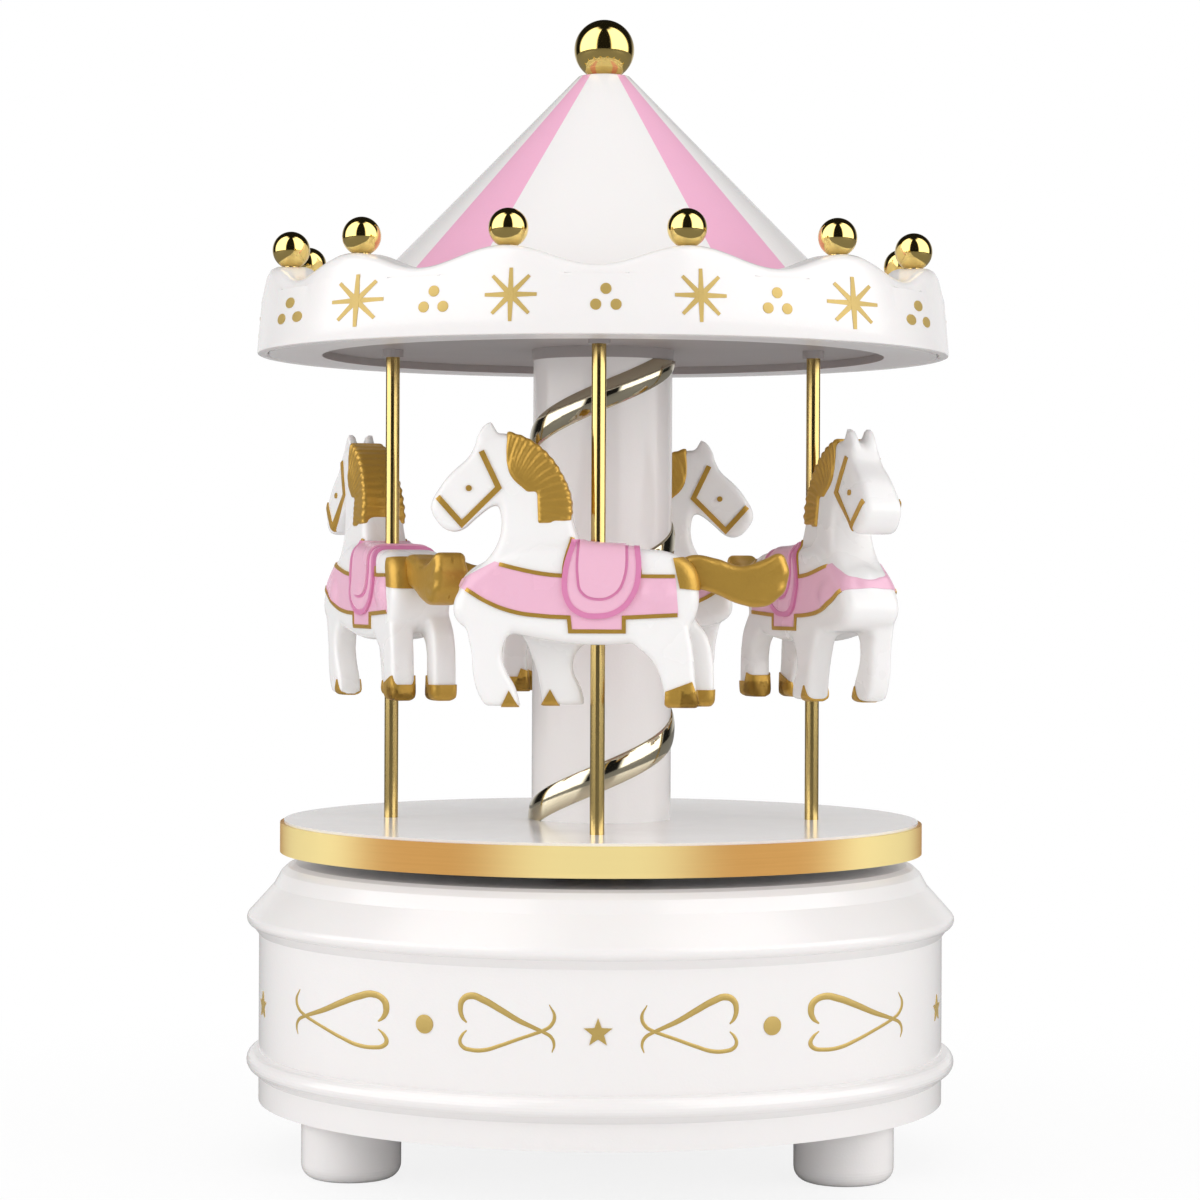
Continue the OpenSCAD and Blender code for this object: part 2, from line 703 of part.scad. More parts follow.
module horse_shape() {
  tail_t = 5;
  body_t = trunk_t / horse_k;
  limb_t = leg_t / horse_k;
  hull() {
    translate([9.5, 0, 16.4]) scale_sphere(10.3, body_t / 2, 7);
    translate([-7.6, 0, 16.2]) scale_sphere(6.4, body_t / 2, 6.9);
  }
  hull() {
    translate([12, 0, 20]) scale_sphere(6.4, body_t * 0.42, 5);
    translate([11.6, 0, 35.5]) scale_sphere(4.4, 2.8, 4.6);
    translate([7, 0, 27]) scale_sphere(3, 2.6, 5);
  }
  hull() {
    translate([15.6, 0, 36]) scale_sphere(3.6, 2.9, 4);
    translate([21.6, 0, 29.6]) scale_sphere(2.8, 2.4, 3.4);
  }
  hull() {
    translate([-12, 0, 20]) scale_sphere(1.6, 1.4, 2.2);
    translate([-24.8, 0, 18.6]) scale_sphere(3.4, tail_t / 2, 4.1);
  }
  side_plate(fore_leg, limb_t, limb_t / 2 + 0.9);
  side_plate(far_fore_leg, limb_t, -limb_t / 2 - 0.9);
  side_plate(hind_leg, limb_t, limb_t / 2 + 0.9);
  side_plate(far_hind_leg, limb_t, -limb_t / 2 - 0.9);
  side_plate(mane_shape, 3.4);
  side_plate(seat_shape, body_t + 1.2);
  for (s = [-1, 1]) translate([15.6, s * 1.7, 38]) cylinder(h = 4.4, r1 = 1.3, r2 = 0.4, $fn = 16);
}

// an ellipsoid as triangles
module scale_sphere(rx, ry, rz) {
  resize([2 * rx, 2 * ry, 2 * rz]) sphere(r = rx, $fn = 20);
}

module horse(place, yaw = 0) {
  color(white) rotate(place) translate([pole_ring_r, 0, hoof_z]) rotate(-90 + yaw) difference() {
    scale(horse_k) horse_shape();
    translate([0, 0, -1]) cylinder(h = horse_h + 3, r = pole_r + 0.1, $fn = 32);
  }
}

// ---------- canopy ----------

module canopy_ceiling() {
  ring_in = valance_r - valance_wall - 0.3;
  color(white) difference() {
    union() {
      rotate_extrude($fn = 128) polygon([
        [0, canopy_z + ceiling_rise], [ceiling_r, canopy_z + ceiling_rise], [ceiling_r, canopy_z],
        [ring_in, canopy_z], [ring_in, canopy_z + ceiling_t],
        [ceiling_r + 1.2, canopy_z + ceiling_t], [ceiling_r + 1.2, canopy_z + ceiling_rise + ceiling_t],
        [0, canopy_z + ceiling_rise + ceiling_t]
      ]);
      ring(4, pole_ring_r) translate([0, 0, canopy_z]) cylinder(h = ceiling_rise + 0.5, r = 1.7);
      translate([0, 0, ceiling_hub_z]) cylinder(h = canopy_z - ceiling_hub_z + ceiling_rise + 0.5, r = column_r + 0.2);
      translate([0, 0, column_top - 2.5]) cylinder(h = 3, r = column_r - column_wall - 0.1);
      ring(6, land_r, 15) translate([0, 0, canopy_z + 1]) cylinder(h = shelf_z - canopy_z - 1.05, r = post_r);
      translate([0, 0, canopy_z + 1]) cylinder(h = roof_z - canopy_z - 1, r = centre_post_r);
    }
    translate([0, 0, column_top - 4]) cylinder(h = 30, r = rod_r + 0.1);
    ring(4, pole_ring_r) translate([0, 0, canopy_z - 1]) cylinder(h = 10, r = pole_r + 0.02);
  }
}

module valance() {
  color(white) difference() {
    rotate_extrude($fn = 128) polygon([
      [valance_r, canopy_z], [valance_top_r + 0.2, peak_z - 1], [valance_top_r - 0.8, peak_z],
      [land_r, peak_z], [land_r, roof_z], [roof_r - 1, roof_z], [roof_r - 1, shelf_z],
      [valance_top_r - valance_wall, shelf_z], [valance_r - valance_wall, canopy_z]
    ]);
    for (i = [0:peaks - 1]) rotate(i * 360 / peaks) translate([land_r - 2, 0, peak_z - dip_depth + dip_r])
      rotate([0, 90, 0]) cylinder(h = rim_w + 6, r = dip_r);
    ring(peaks, ball_ring_r, 180 / peaks) translate([0, 0, peak_z - 3]) cylinder(h = 6, r = 0.82, $fn = 24);
  }
}

module roof() {
  color("mistyrose") difference() {
    rotate_extrude($fn = 128) polygon([
      [roof_r, roof_z], [roof_r, roof_z + 0.4], [tip_r, roof_top], [0, roof_top], [0, roof_top - 3],
      [tip_r - 1, roof_top - 3], [roof_r - roof_wall - 0.6, roof_z]
    ]);
    translate([0, 0, roof_z - 1]) cylinder(h = roof_h + 5, r = rod_r + 0.1);
  }
}

module rim_balls() {
  color(gold) ring(peaks, ball_ring_r, 180 / peaks) {
    translate([0, 0, ball_z]) intersection() {
      sphere(r = ball_r, $fn = 40);
      translate([-5, -5, -ball_r + ball_seat]) cube([10, 10, 10]);
    }
    translate([0, 0, peak_z - 2.6]) cylinder(h = ball_z - peak_z + 2.6, r = 0.8, $fn = 24);
  }
}

module finial_ball() {
  color(gold) difference() {
    translate([0, 0, finial_z]) sphere(r = finial_r);
    translate([0, 0, roof_top - 20]) cylinder(h = 20, r = finial_r + 1);
    translate([0, 0, roof_top - 1]) cylinder(h = finial_z - roof_top + 1.1, r = rod_r + thread_fit);
  }
}

// ---------- nodes ----------

base_shell();
bottom_plate();
foot(90);  // foot_back
foot(210);  // foot_front_left
foot(330);  // foot_front_right
bottom_screws();
spindle_bush();
bedplate();
bedplate_screws();
comb();
comb_screws();
governor_bracket();
bracket_screw();
click_spring();
winding_key();
winding_arbor();
spring_barrel();
mainspring();
barrel_lid();
drive_spindle();
tune_cylinder();
cylinder_arbor();
cylinder_wheel();
crown_pinion();
idler_arbor();
idler_pinion();
worm_wheel();
governor_worm();
governor_fan();
turntable();
turntable_band();
column();
spiral_strip();
pole(pole_places[0]);  // pole_front
pole(pole_places[1]);  // pole_left
pole(pole_places[2]);  // pole_back
pole(pole_places[3]);  // pole_right
horse(pole_places[0]);  // horse_front
horse(pole_places[1], side_yaw);  // horse_left
horse(pole_places[2]);  // horse_back
horse(pole_places[3], side_yaw);  // horse_right
canopy_ceiling();
valance();
roof();
rim_balls();
tie_rod();
finial_ball();
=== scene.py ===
import json
import math

import bpy
from mathutils import Matrix, Vector


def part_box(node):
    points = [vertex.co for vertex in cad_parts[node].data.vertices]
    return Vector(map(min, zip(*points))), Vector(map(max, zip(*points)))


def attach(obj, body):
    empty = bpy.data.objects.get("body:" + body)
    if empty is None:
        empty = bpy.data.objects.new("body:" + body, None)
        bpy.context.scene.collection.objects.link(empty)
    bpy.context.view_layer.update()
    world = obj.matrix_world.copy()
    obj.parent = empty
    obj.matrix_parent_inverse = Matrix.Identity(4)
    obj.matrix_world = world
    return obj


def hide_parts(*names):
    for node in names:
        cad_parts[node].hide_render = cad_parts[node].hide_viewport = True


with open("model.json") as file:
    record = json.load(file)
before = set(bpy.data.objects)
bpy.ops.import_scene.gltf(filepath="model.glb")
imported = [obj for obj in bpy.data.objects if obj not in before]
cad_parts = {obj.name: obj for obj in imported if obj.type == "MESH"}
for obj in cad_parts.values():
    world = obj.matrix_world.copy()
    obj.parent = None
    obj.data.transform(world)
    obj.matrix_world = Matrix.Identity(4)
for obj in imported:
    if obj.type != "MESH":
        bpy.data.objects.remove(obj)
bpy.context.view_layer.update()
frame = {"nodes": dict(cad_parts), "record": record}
mm = 0.001


def pick(*objs):
    bpy.ops.object.select_all(action="DESELECT")
    for obj in objs:
        obj.select_set(True)
    bpy.context.view_layer.objects.active = objs[-1]


def addMesh(name, verts, edges):  # places in mm
    mesh = bpy.data.meshes.new(name)
    mesh.from_pydata([Vector(v) * mm for v in verts], edges, ())
    obj = bpy.data.objects.new(name, mesh)
    bpy.context.collection.objects.link(obj)
    pick(obj)
    return obj


def bakePlace(obj):
    pick(obj)
    bpy.ops.object.transform_apply(location=True, rotation=True, scale=True)
    return obj


def applyModifiers(obj):
    pick(obj)
    for modifier in list(obj.modifiers):
        bpy.ops.object.modifier_apply(modifier=modifier.name)
    return obj


def copyOf(obj, name):
    twin = obj.copy()
    twin.data = obj.data.copy()
    twin.name = name
    twin.data.name = name
    bpy.context.collection.objects.link(twin)
    return twin


def joinAll(objs, name):
    pick(*objs)
    if len(objs) > 1:
        bpy.ops.object.join()
    joined = bpy.context.view_layer.objects.active
    joined.name = name
    joined.data.name = name
    return bakePlace(joined)


def smooth(obj, angle):
    pick(obj)
    bpy.ops.object.shade_smooth_by_angle(angle=math.radians(angle))
    return obj


def closeMesh(obj, gap=0.001):  # merges doubles and turns faces outwards
    pick(obj)
    bpy.ops.object.mode_set(mode="EDIT")
    bpy.ops.mesh.select_all(action="SELECT")
    bpy.ops.mesh.remove_doubles(threshold=gap * mm)
    bpy.ops.mesh.normals_make_consistent(inside=False)
    bpy.ops.object.mode_set(mode="OBJECT")
    return obj


def setMaterials(obj, *materials):
    obj.data.materials.clear()
    for material in materials:
        obj.data.materials.append(material)


def spinProfile(name, profile, steps):  # a closed outline of (radius, height) turned round the axis
    count = len(profile)
    obj = addMesh(name, [(r, 0, z) for r, z in profile], [(i, (i + 1) % count) for i in range(count)])
    bpy.ops.object.mode_set(mode="EDIT")
    bpy.ops.mesh.select_all(action="SELECT")
    bpy.ops.mesh.spin(steps=steps, angle=2 * math.pi, center=(0, 0, 0), axis=(0, 0, 1))
    bpy.ops.object.mode_set(mode="OBJECT")
    return closeMesh(obj)


def addCurve(name, strokes, closed, flat):  # strokes are lists of (across, up) or (across, up, mark) in mm
    data = bpy.data.curves.new(name, "CURVE")
    data.dimensions = "2D" if flat else "3D"
    for stroke in strokes:
        spline = data.splines.new("BEZIER")
        spline.bezier_points.add(len(stroke) - 1)
        for point, handle in zip(stroke, spline.bezier_points):
            handle.co = (point[0] * mm, point[1] * mm, 0)
            sharp = len(point) > 2 and point[2] == "c"
            handle.handle_left_type = handle.handle_right_type = "VECTOR" if sharp else "AUTO"
            if len(point) > 2 and not sharp:
                handle.radius = point[2]
        spline.use_cyclic_u = closed
    obj = bpy.data.objects.new(name, data)
    bpy.context.collection.objects.link(obj)
    return obj


def uprightMesh(obj):  # a curve drawn on the floor becomes a mesh that stands in the XZ plane
    pick(obj)
    bpy.ops.object.convert(target="MESH")
    obj = bpy.context.object
    obj.rotation_euler = (math.pi / 2, 0, 0)
    return closeMesh(bakePlace(obj))


def slab(name, outlines, halfWidth, roundness=0.0, steps=6):  # an outline as a plate with rounded edges
    obj = addCurve(name, outlines, closed=True, flat=True)
    obj.data.fill_mode = "BOTH"
    obj.data.resolution_u = steps
    obj.data.extrude = (halfWidth - roundness) * mm
    obj.data.bevel_depth = roundness * mm
    obj.data.bevel_resolution = 4
    obj.data.offset = -roundness * mm
    return uprightMesh(obj)


def brushStroke(name, strokes, width, steps=10):  # a tapering line; the marks on its points scale its width
    obj = addCurve(name, strokes, closed=False, flat=False)
    obj.data.resolution_u = steps
    obj.data.bevel_depth = width / 2 * mm
    obj.data.bevel_resolution = 3
    obj.data.use_fill_caps = True
    return uprightMesh(obj)


def straight(points):  # every corner stays sharp
    return [(point[0], point[1], "c") for point in points]


def wrapRound(obj, angle, radius, lean, foot):  # bends a piece in XZ round a cone; angle 0 is the front
    start = math.radians(angle)
    for vertex in obj.data.vertices:
        x, y, z = vertex.co
        reach = (radius - (z / mm - foot) * lean) * mm
        turn = start + x / reach
        vertex.co = ((reach - y) * math.sin(turn), -(reach - y) * math.cos(turn), z)
    return obj


def mount(obj, body, slotName, *nodes):
    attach(obj, body)
    if nodes:
        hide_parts(*nodes)


cameraView = {
    "distance": 0.5343,
    "eyeHeight": 0.09205,
    "turned": 1.0,  # degrees round the toy
    "roll": -0.25,  # degrees
    "lens": 101.2,  # mm, as the sensor
    "sensorWidth": 36,
    "shiftX": -0.0017,
    "shiftY": -0.0225,
    "clip": (0.01, 30),
}


def addCamera(view):
    turned = math.radians(view["turned"])
    reach = view["distance"]
    bpy.ops.object.camera_add(
        location=(reach * math.sin(turned), -reach * math.cos(turned), view["eyeHeight"]),
        rotation=(math.pi / 2, math.radians(view["roll"]), turned),
    )
    camera = bpy.context.object
    camera.name = "frontCamera"
    camera.data.sensor_width = view["sensorWidth"]
    camera.data.lens = view["lens"]
    camera.data.shift_x = view["shiftX"]
    camera.data.shift_y = view["shiftY"]
    camera.data.clip_start, camera.data.clip_end = view["clip"]
    bpy.context.scene.camera = camera


addCamera(cameraView)
bpy.context.scene.view_settings.view_transform = "Standard"
print("stage: camera")


def addNode(tree, kind, **values):
    node = tree.nodes.new(kind)
    for key, value in values.items():
        setattr(node, key, value)
    return node


def feed(tree, socket, value):  # sets a number, a vector or a colour, and links another node's output
    if isinstance(value, tuple):
        socket.default_value = (*value, 1) if socket.type == "RGBA" else value
    elif isinstance(value, (int, float)):
        socket.default_value = value
    else:
        tree.links.new(value, socket)


def feedAll(tree, sockets, **values):  # by the sockets' names, with _ for a space
    for label, value in values.items():
        feed(tree, sockets[label.replace("_", " ")], value)


def newGroup(name, inputs, outputs):
    group = bpy.data.node_groups.new(name, "ShaderNodeTree")
    for label, kind, default in inputs:
        socket = group.interface.new_socket(label, in_out="INPUT", socket_type="NodeSocket" + kind)
        socket.default_value = default
    for label, kind in outputs:
        group.interface.new_socket(label, in_out="OUTPUT", socket_type="NodeSocket" + kind)
    return group, addNode(group, "NodeGroupInput").outputs, addNode(group, "NodeGroupOutput").inputs


def combine(tree, operation, *values):
    node = addNode(tree, "ShaderNodeMath", operation=operation)
    for socket, value in zip(node.inputs, values):
        feed(tree, socket, value)
    return node.outputs[0]


def product(tree, shares):
    total = shares[0]
    for share in shares[1:]:
        total = combine(tree, "MULTIPLY", total, share)
    return total


def stepBetween(tree, source, limits, low=0.0, high=1.0):  # a soft step from low to high
    step = addNode(tree, "ShaderNodeMapRange", interpolation_type="SMOOTHSTEP")
    first, last = limits
    feedAll(tree, step.inputs, Value=source, From_Min=first, From_Max=last, To_Min=low, To_Max=high)
    return step.outputs["Result"]


def mixColours(tree, share, first, second):  # the first where share is 0
    mix = addNode(tree, "ShaderNodeMix", data_type="RGBA")
    tree.links.new(share, mix.inputs["Factor"])
    for place, colour in ((6, first), (7, second)):  # inputs 6 and 7 and output 2 are for colours
        feed(tree, mix.inputs[place], colour)
    return mix.outputs[2]


def mixShaders(tree, share, first, second):
    mix = addNode(tree, "ShaderNodeMixShader")
    for socket, source in zip(mix.inputs, (share, first, second)):
        tree.links.new(source, socket)
    return mix.outputs[0]


def splitVector(tree, source):
    split = addNode(tree, "ShaderNodeSeparateXYZ")
    tree.links.new(source, split.inputs[0])
    return split.outputs


def addNoise(tree, place, scale, detail):
    noise = addNode(tree, "ShaderNodeTexNoise")
    feedAll(tree, noise.inputs, Vector=place, Scale=scale, Detail=detail)
    return noise.outputs["Fac"]


def addBump(tree, height, look):
    bump = addNode(tree, "ShaderNodeBump")
    feedAll(tree, bump.inputs, Height=height, Strength=look["bumpStrength"], Distance=look["bumpDistance"])
    return bump.outputs["Normal"]


def distanceFromAxis(tree):  # in m
    place = addNode(tree, "ShaderNodeTexCoord")
    flat = addNode(tree, "ShaderNodeVectorMath", operation="MULTIPLY")
    flat.inputs[1].default_value = (1, 1, 0)
    reach = addNode(tree, "ShaderNodeVectorMath", operation="LENGTH")
    tree.links.new(place.outputs["Object"], flat.inputs[0])
    tree.links.new(flat.outputs["Vector"], reach.inputs[0])
    return reach.outputs["Value"]


surfaceOutputs = (("Color", "Color"), ("Roughness", "Float"), ("Normal", "Vector"))
mouldedLook = {
    "cloudDetail": 4,
    "grainDetail": 2,
    "roughSpread": 0.1,
    "bumpStrength": 0.5,
    "bumpDistance": 0.0002,
}
workedLook = {
    "lineDetail": 3,
    "sheenColour": (1.0, 0.83, 0.36),
    "sheenBands": 6,  # painted highlight: lighter bands round the axis, standing in for the brushed band's reflections
    "roughSpread": 0.12,
    "bumpStrength": 0.4,
    "bumpDistance": 0.0001,
}


def makeMouldedFinish(look):  # faint clouds, a fine grain, and slow waves in the gloss
    group, given, result = newGroup("mouldedFinish", (
        ("base", "Color", (0.8, 0.8, 0.8, 1)),
        ("shade", "Color", (0.75, 0.75, 0.75, 1)),
        ("cloudScale", "Float", 70.0),
        ("grainScale", "Float", 2600.0),
        ("grainHeight", "Float", 0.15),
        ("waveHeight", "Float", 0.25),
        ("gloss", "Float", 0.2),
    ), surfaceOutputs)
    place = addNode(group, "ShaderNodeTexCoord").outputs["Object"]
    clouds = addNoise(group, place, given["cloudScale"], look["cloudDetail"])
    grain = addNoise(group, place, given["grainScale"], look["grainDetail"])
    fine = combine(group, "MULTIPLY", grain, given["grainHeight"])
    height = combine(group, "MULTIPLY_ADD", clouds, given["waveHeight"], fine)
    feedAll(
        group, result, Color=mixColours(group, clouds, given["base"], given["shade"]),
        Roughness=combine(group, "MULTIPLY_ADD", clouds, look["roughSpread"], given["gloss"]),
        Normal=addBump(group, height, look),
    )
    return group


def makeWorkedMetal(look):  # fine lines: stretched noise, round the axis or along it; painted highlight bands round the axis lighten the colour where reflections would fall
    group, given, result = newGroup("workedMetal", (
        ("base", "Color", (0.8, 0.8, 0.8, 1)),
        ("shade", "Color", (0.6, 0.6, 0.6, 1)),
        ("roundScale", "Float", 3.0),
        ("alongScale", "Float", 3000.0),
        ("gloss", "Float", 0.25),
        ("lineHeight", "Float", 0.3),
        ("sheen", "Float", 0.0),
    ), surfaceOutputs)
    place = splitVector(group, addNode(group, "ShaderNodeTexCoord").outputs["Object"])
    around = combine(group, "ARCTAN2", place["Y"], place["X"])
    stretched = addNode(group, "ShaderNodeCombineXYZ")
    feedAll(
        group, stretched.inputs, X=combine(group, "MULTIPLY", around, given["roundScale"]),
        Y=combine(group, "MULTIPLY", place["Z"], given["alongScale"]),
    )
    lines = addNoise(group, stretched.outputs[0], 1.0, look["lineDetail"])
    # painted highlight: the colour turns lighter in bands round the axis, standing in for the brushed band's
    # reflections
    waves = combine(group, "COSINE", combine(group, "MULTIPLY", around, look["sheenBands"]))
    sheen = combine(group, "MULTIPLY", stepBetween(group, waves, (-1.0, 1.0), 1.0, 0.0), given["sheen"])
    plain = mixColours(group, lines, given["base"], given["shade"])
    feedAll(
        group, result, Color=mixColours(group, sheen, plain, look["sheenColour"]),
        Roughness=combine(group, "MULTIPLY_ADD", lines, look["roughSpread"], given["gloss"]),
        Normal=addBump(group, combine(group, "MULTIPLY", lines, given["lineHeight"]), look),
    )
    return group


mouldedFinish = makeMouldedFinish(mouldedLook)
workedMetal = makeWorkedMetal(workedLook)


def finishedMaterial(name, group, values, shaderValues):
    material = bpy.data.materials.new(name)
    material.use_nodes = True
    tree = material.node_tree
    shader = tree.nodes["Principled BSDF"].inputs
    for label, value in shaderValues.items():
        shader[label].default_value = value
    finish = addNode(tree, "ShaderNodeGroup", node_tree=group)
    feedAll(tree, finish.inputs, **values)
    made = finish.outputs
    feedAll(tree, shader, Base_Color=made["Color"], Roughness=made["Roughness"], Normal=made["Normal"])
    return material


def plastic(name, base, shade, gloss=0.16):
    return finishedMaterial(name, mouldedFinish, {"base": base, "shade": shade, "gloss": gloss}, {
        "IOR": 1.42, "Coat Weight": 0.2, "Coat Roughness": 0.08,
        "Subsurface Weight": 0.04, "Subsurface Scale": 0.002,
    })


def paintedMetal(name, base, shade, gloss, metallic, **more):
    values = {"base": base, "shade": shade, "gloss": gloss, **more}
    return finishedMaterial(name, mouldedFinish, values, {"Metallic": metallic})


def metal(name, base, shade, gloss, metallic=1.0, **more):
    values = {"base": base, "shade": shade, "gloss": gloss, **more}
    return finishedMaterial(name, workedMetal, values, {"Metallic": metallic})


def paintShadeWithin(material, radius, colour):  # another colour inside a circle round the axis, its radius in mm; it paints shade into the ceiling
    tree = material.node_tree
    shader = tree.nodes["Principled BSDF"].inputs
    plain = shader["Base Color"].links[0].from_socket
    blur = 0.1
    limits = ((radius - blur) * mm, (radius + blur) * mm)
    outside = stepBetween(tree, distanceFromAxis(tree), limits)
    feed(tree, shader["Base Color"], mixColours(tree, outside, colour, plain))


whitePlastic = plastic("whitePlastic", (0.875, 0.85, 0.842), (0.85, 0.825, 0.815))
# painted shade: the ceiling plastic is greyer than the white plastic, standing in for the shade under the
# canopy
ceilingShadedPlastic = plastic("ceilingShadedPlastic", (0.78, 0.76, 0.76), (0.74, 0.72, 0.72), gloss=0.3)
paintShadeWithin(ceilingShadedPlastic, radius=44.4, colour=(0.36, 0.33, 0.325))  # painted shade: the hollow over the horses is coloured darker, standing in for the shade under the canopy
horsePlastic = plastic("horsePlastic", (0.89, 0.875, 0.868), (0.865, 0.85, 0.842), gloss=0.22)
pinkPlastic = plastic("pinkPlastic", (0.87, 0.47, 0.64), (0.85, 0.43, 0.60), gloss=0.2)
tackPink = plastic("tackPink", (0.865, 0.50, 0.635), (0.845, 0.46, 0.605), gloss=0.22)
tackRose = plastic("tackRose", (0.73, 0.25, 0.45), (0.67, 0.20, 0.40), gloss=0.25)
goldPaint = paintedMetal(
    "goldPaint", (0.63, 0.375, 0.067), (0.505, 0.295, 0.05), 0.34, 0.55, cloudScale=260.0, grainHeight=0.5)
goldFoil = paintedMetal(
    "goldFoil", (0.60, 0.425, 0.125), (0.50, 0.35, 0.10), 0.34, 0.25, cloudScale=160.0, grainHeight=0.3)
mirrorGold = paintedMetal(
    "mirrorGold", (0.82, 0.62, 0.22), (0.78, 0.57, 0.18), 0.02, 1.0, grainHeight=0.01, waveHeight=0.05)
poleGold = metal(
    "poleGold", (0.70, 0.52, 0.205), (0.57, 0.41, 0.15), 0.1, roundScale=60.0, alongScale=4.0)
champagneGold = paintedMetal(
    "champagneGold", (0.66, 0.60, 0.45), (0.60, 0.53, 0.38), 0.04, 1.0, grainHeight=0.02, waveHeight=0.6)
# painted highlight: its sheen value paints lighter bands round the axis into the band's colour
brushedGold = metal("brushedGold", (0.60, 0.31, 0.075), (0.53, 0.27, 0.06), 0.42, 0.3, sheen=0.9)
brass = metal("brass", (0.72, 0.53, 0.24), (0.60, 0.42, 0.17), 0.22, roundScale=8.0, alongScale=1500.0)
steel = metal("steel", (0.56, 0.56, 0.55), (0.42, 0.42, 0.42), 0.2, roundScale=10.0, alongScale=2200.0)
keySteel = metal(
    "keySteel", (0.66, 0.65, 0.62), (0.50, 0.49, 0.47), 0.24, roundScale=30.0, alongScale=900.0)
combSteel = metal(
    "combSteel", (0.62, 0.62, 0.63), (0.48, 0.48, 0.50), 0.16, roundScale=40.0, alongScale=60.0)
springSteel = metal("springSteel", (0.16, 0.20, 0.30), (0.10, 0.12, 0.20), 0.22)
zinc = paintedMetal("zinc", (0.42, 0.42, 0.43), (0.33, 0.33, 0.34), 0.42, 0.9, grainHeight=1.0)
nylon = paintedMetal("nylon", (0.03, 0.03, 0.033), (0.045, 0.045, 0.05), 0.4, 0.0)

finishOfSlot = {
    "white_plastic": whitePlastic, "horse_white": horsePlastic, "roof_two_tone": whitePlastic,
    "gold_plating": mirrorGold, "brushed_gold": brushedGold, "champagne_gold": champagneGold,
    "movement_brass": brass, "machined_steel": steel, "key_steel": keySteel, "bedplate_zinc": zinc,
    "comb_steel": combSteel, "spring_steel": springSteel, "fan_nylon": nylon,
}
finishOfNode = {"pole": poleGold, "canopy": ceilingShadedPlastic}  # by the first word of the node's name


def dressFrame():
    for subpart in frame["record"]["subparts"]:
        node = frame["nodes"][subpart["node"]]
        for place in node.material_slots:
            place.material = finishOfSlot[subpart["material_slot"]]
        ownFinish = finishOfNode.get(subpart["node"].split("_")[0])
        if ownFinish:
            node.material_slots[0].material = ownFinish


dressFrame()
print("stage: materials")

studio = {
    "target": (0, 0, 0.09),
    "lampSize": 0.6,
    "lamps": (  # name, place in m, watts
        ("leftLamp", (-1.0, -0.5, 0.45), 2.7),
        ("rightLamp", (1.0, -0.55, 0.4), 2.7),
        ("topLamp", (0.0, 0.05, 1.1), 1.0),
    ),
    "skyStops": (  # light on the toy, from straight down to straight up
        (0.0, (0.56, 0.56, 0.56)), (0.47, (0.83, 0.83, 0.83)), (0.55, (1.02, 1.02, 1.02)),
        (0.75, (0.93, 0.93, 0.935)), (1.0, (0.8, 0.8, 0.805)),
    ),
    "mirrored": {  # two tall soft boxes in a dark room, in degrees from the front or the horizon
        "dark": 0.012,
        "bright": 2.5,
        "inner": (24.0, 34.0),
        "outer": (98.0, 112.0),
        "foot": (-14.0, -4.0),
        "head": (66.0, 80.0),
        "backGlow": 0.7,
        "back": (128.0, 160.0),
        "backHead": (6.0, 26.0),
    },
    "floorSize": 8.0,
    "floorTones": (0.9, 0.25),  # in plain sight, and in what the gold mirrors
    "fadeReach": (0.06, 0.2),
    "fadeShares": (0.85, 1.0),  # of pure white in what the camera sees, near the toy and past it
}


def addLamps():
    for name, place, watts in studio["lamps"]:
        data = bpy.data.lights.new(name, "AREA")
        data.shape = "SQUARE"
        data.size = studio["lampSize"]
        data.energy = watts
        lamp = bpy.data.objects.new(name, data)
        bpy.context.collection.objects.link(lamp)
        lamp.location = place
        aim = Vector(studio["target"]) - Vector(place)
        lamp.rotation_euler = aim.to_track_quat("-Z", "Y").to_euler()
        lamp.visible_glossy = False


def makeMirroredRoom(cfg):  # how bright the room is in a direction, for mirror surfaces
    group, given, result = newGroup(
        "mirroredRoom", (("Direction", "Vector", (0, 0, 1)),), (("Brightness", "Float"),))
    direction = splitVector(group, given["Direction"])
    toDegrees = 180 / math.pi
    forward = combine(group, "MULTIPLY", direction["Y"], -1.0)
    sideways = combine(group, "ABSOLUTE", direction["X"])
    across = combine(group, "MULTIPLY", combine(group, "ARCTAN2", sideways, forward), toDegrees)
    up = combine(group, "MULTIPLY", combine(group, "ARCSINE", direction["Z"]), toDegrees)
    softBox = product(group, (
        stepBetween(group, across, cfg["inner"]), stepBetween(group, across, cfg["outer"], 1, 0),
        stepBetween(group, up, cfg["foot"]), stepBetween(group, up, cfg["head"], 1, 0),
    ))
    glow = product(group, (
        stepBetween(group, across, cfg["back"]), stepBetween(group, up, cfg["backHead"], 1, 0),
    ))
    front = combine(group, "MULTIPLY_ADD", softBox, cfg["bright"], cfg["dark"])
    feed(group, result["Brightness"], combine(group, "MULTIPLY_ADD", glow, cfg["backGlow"], front))
    return group


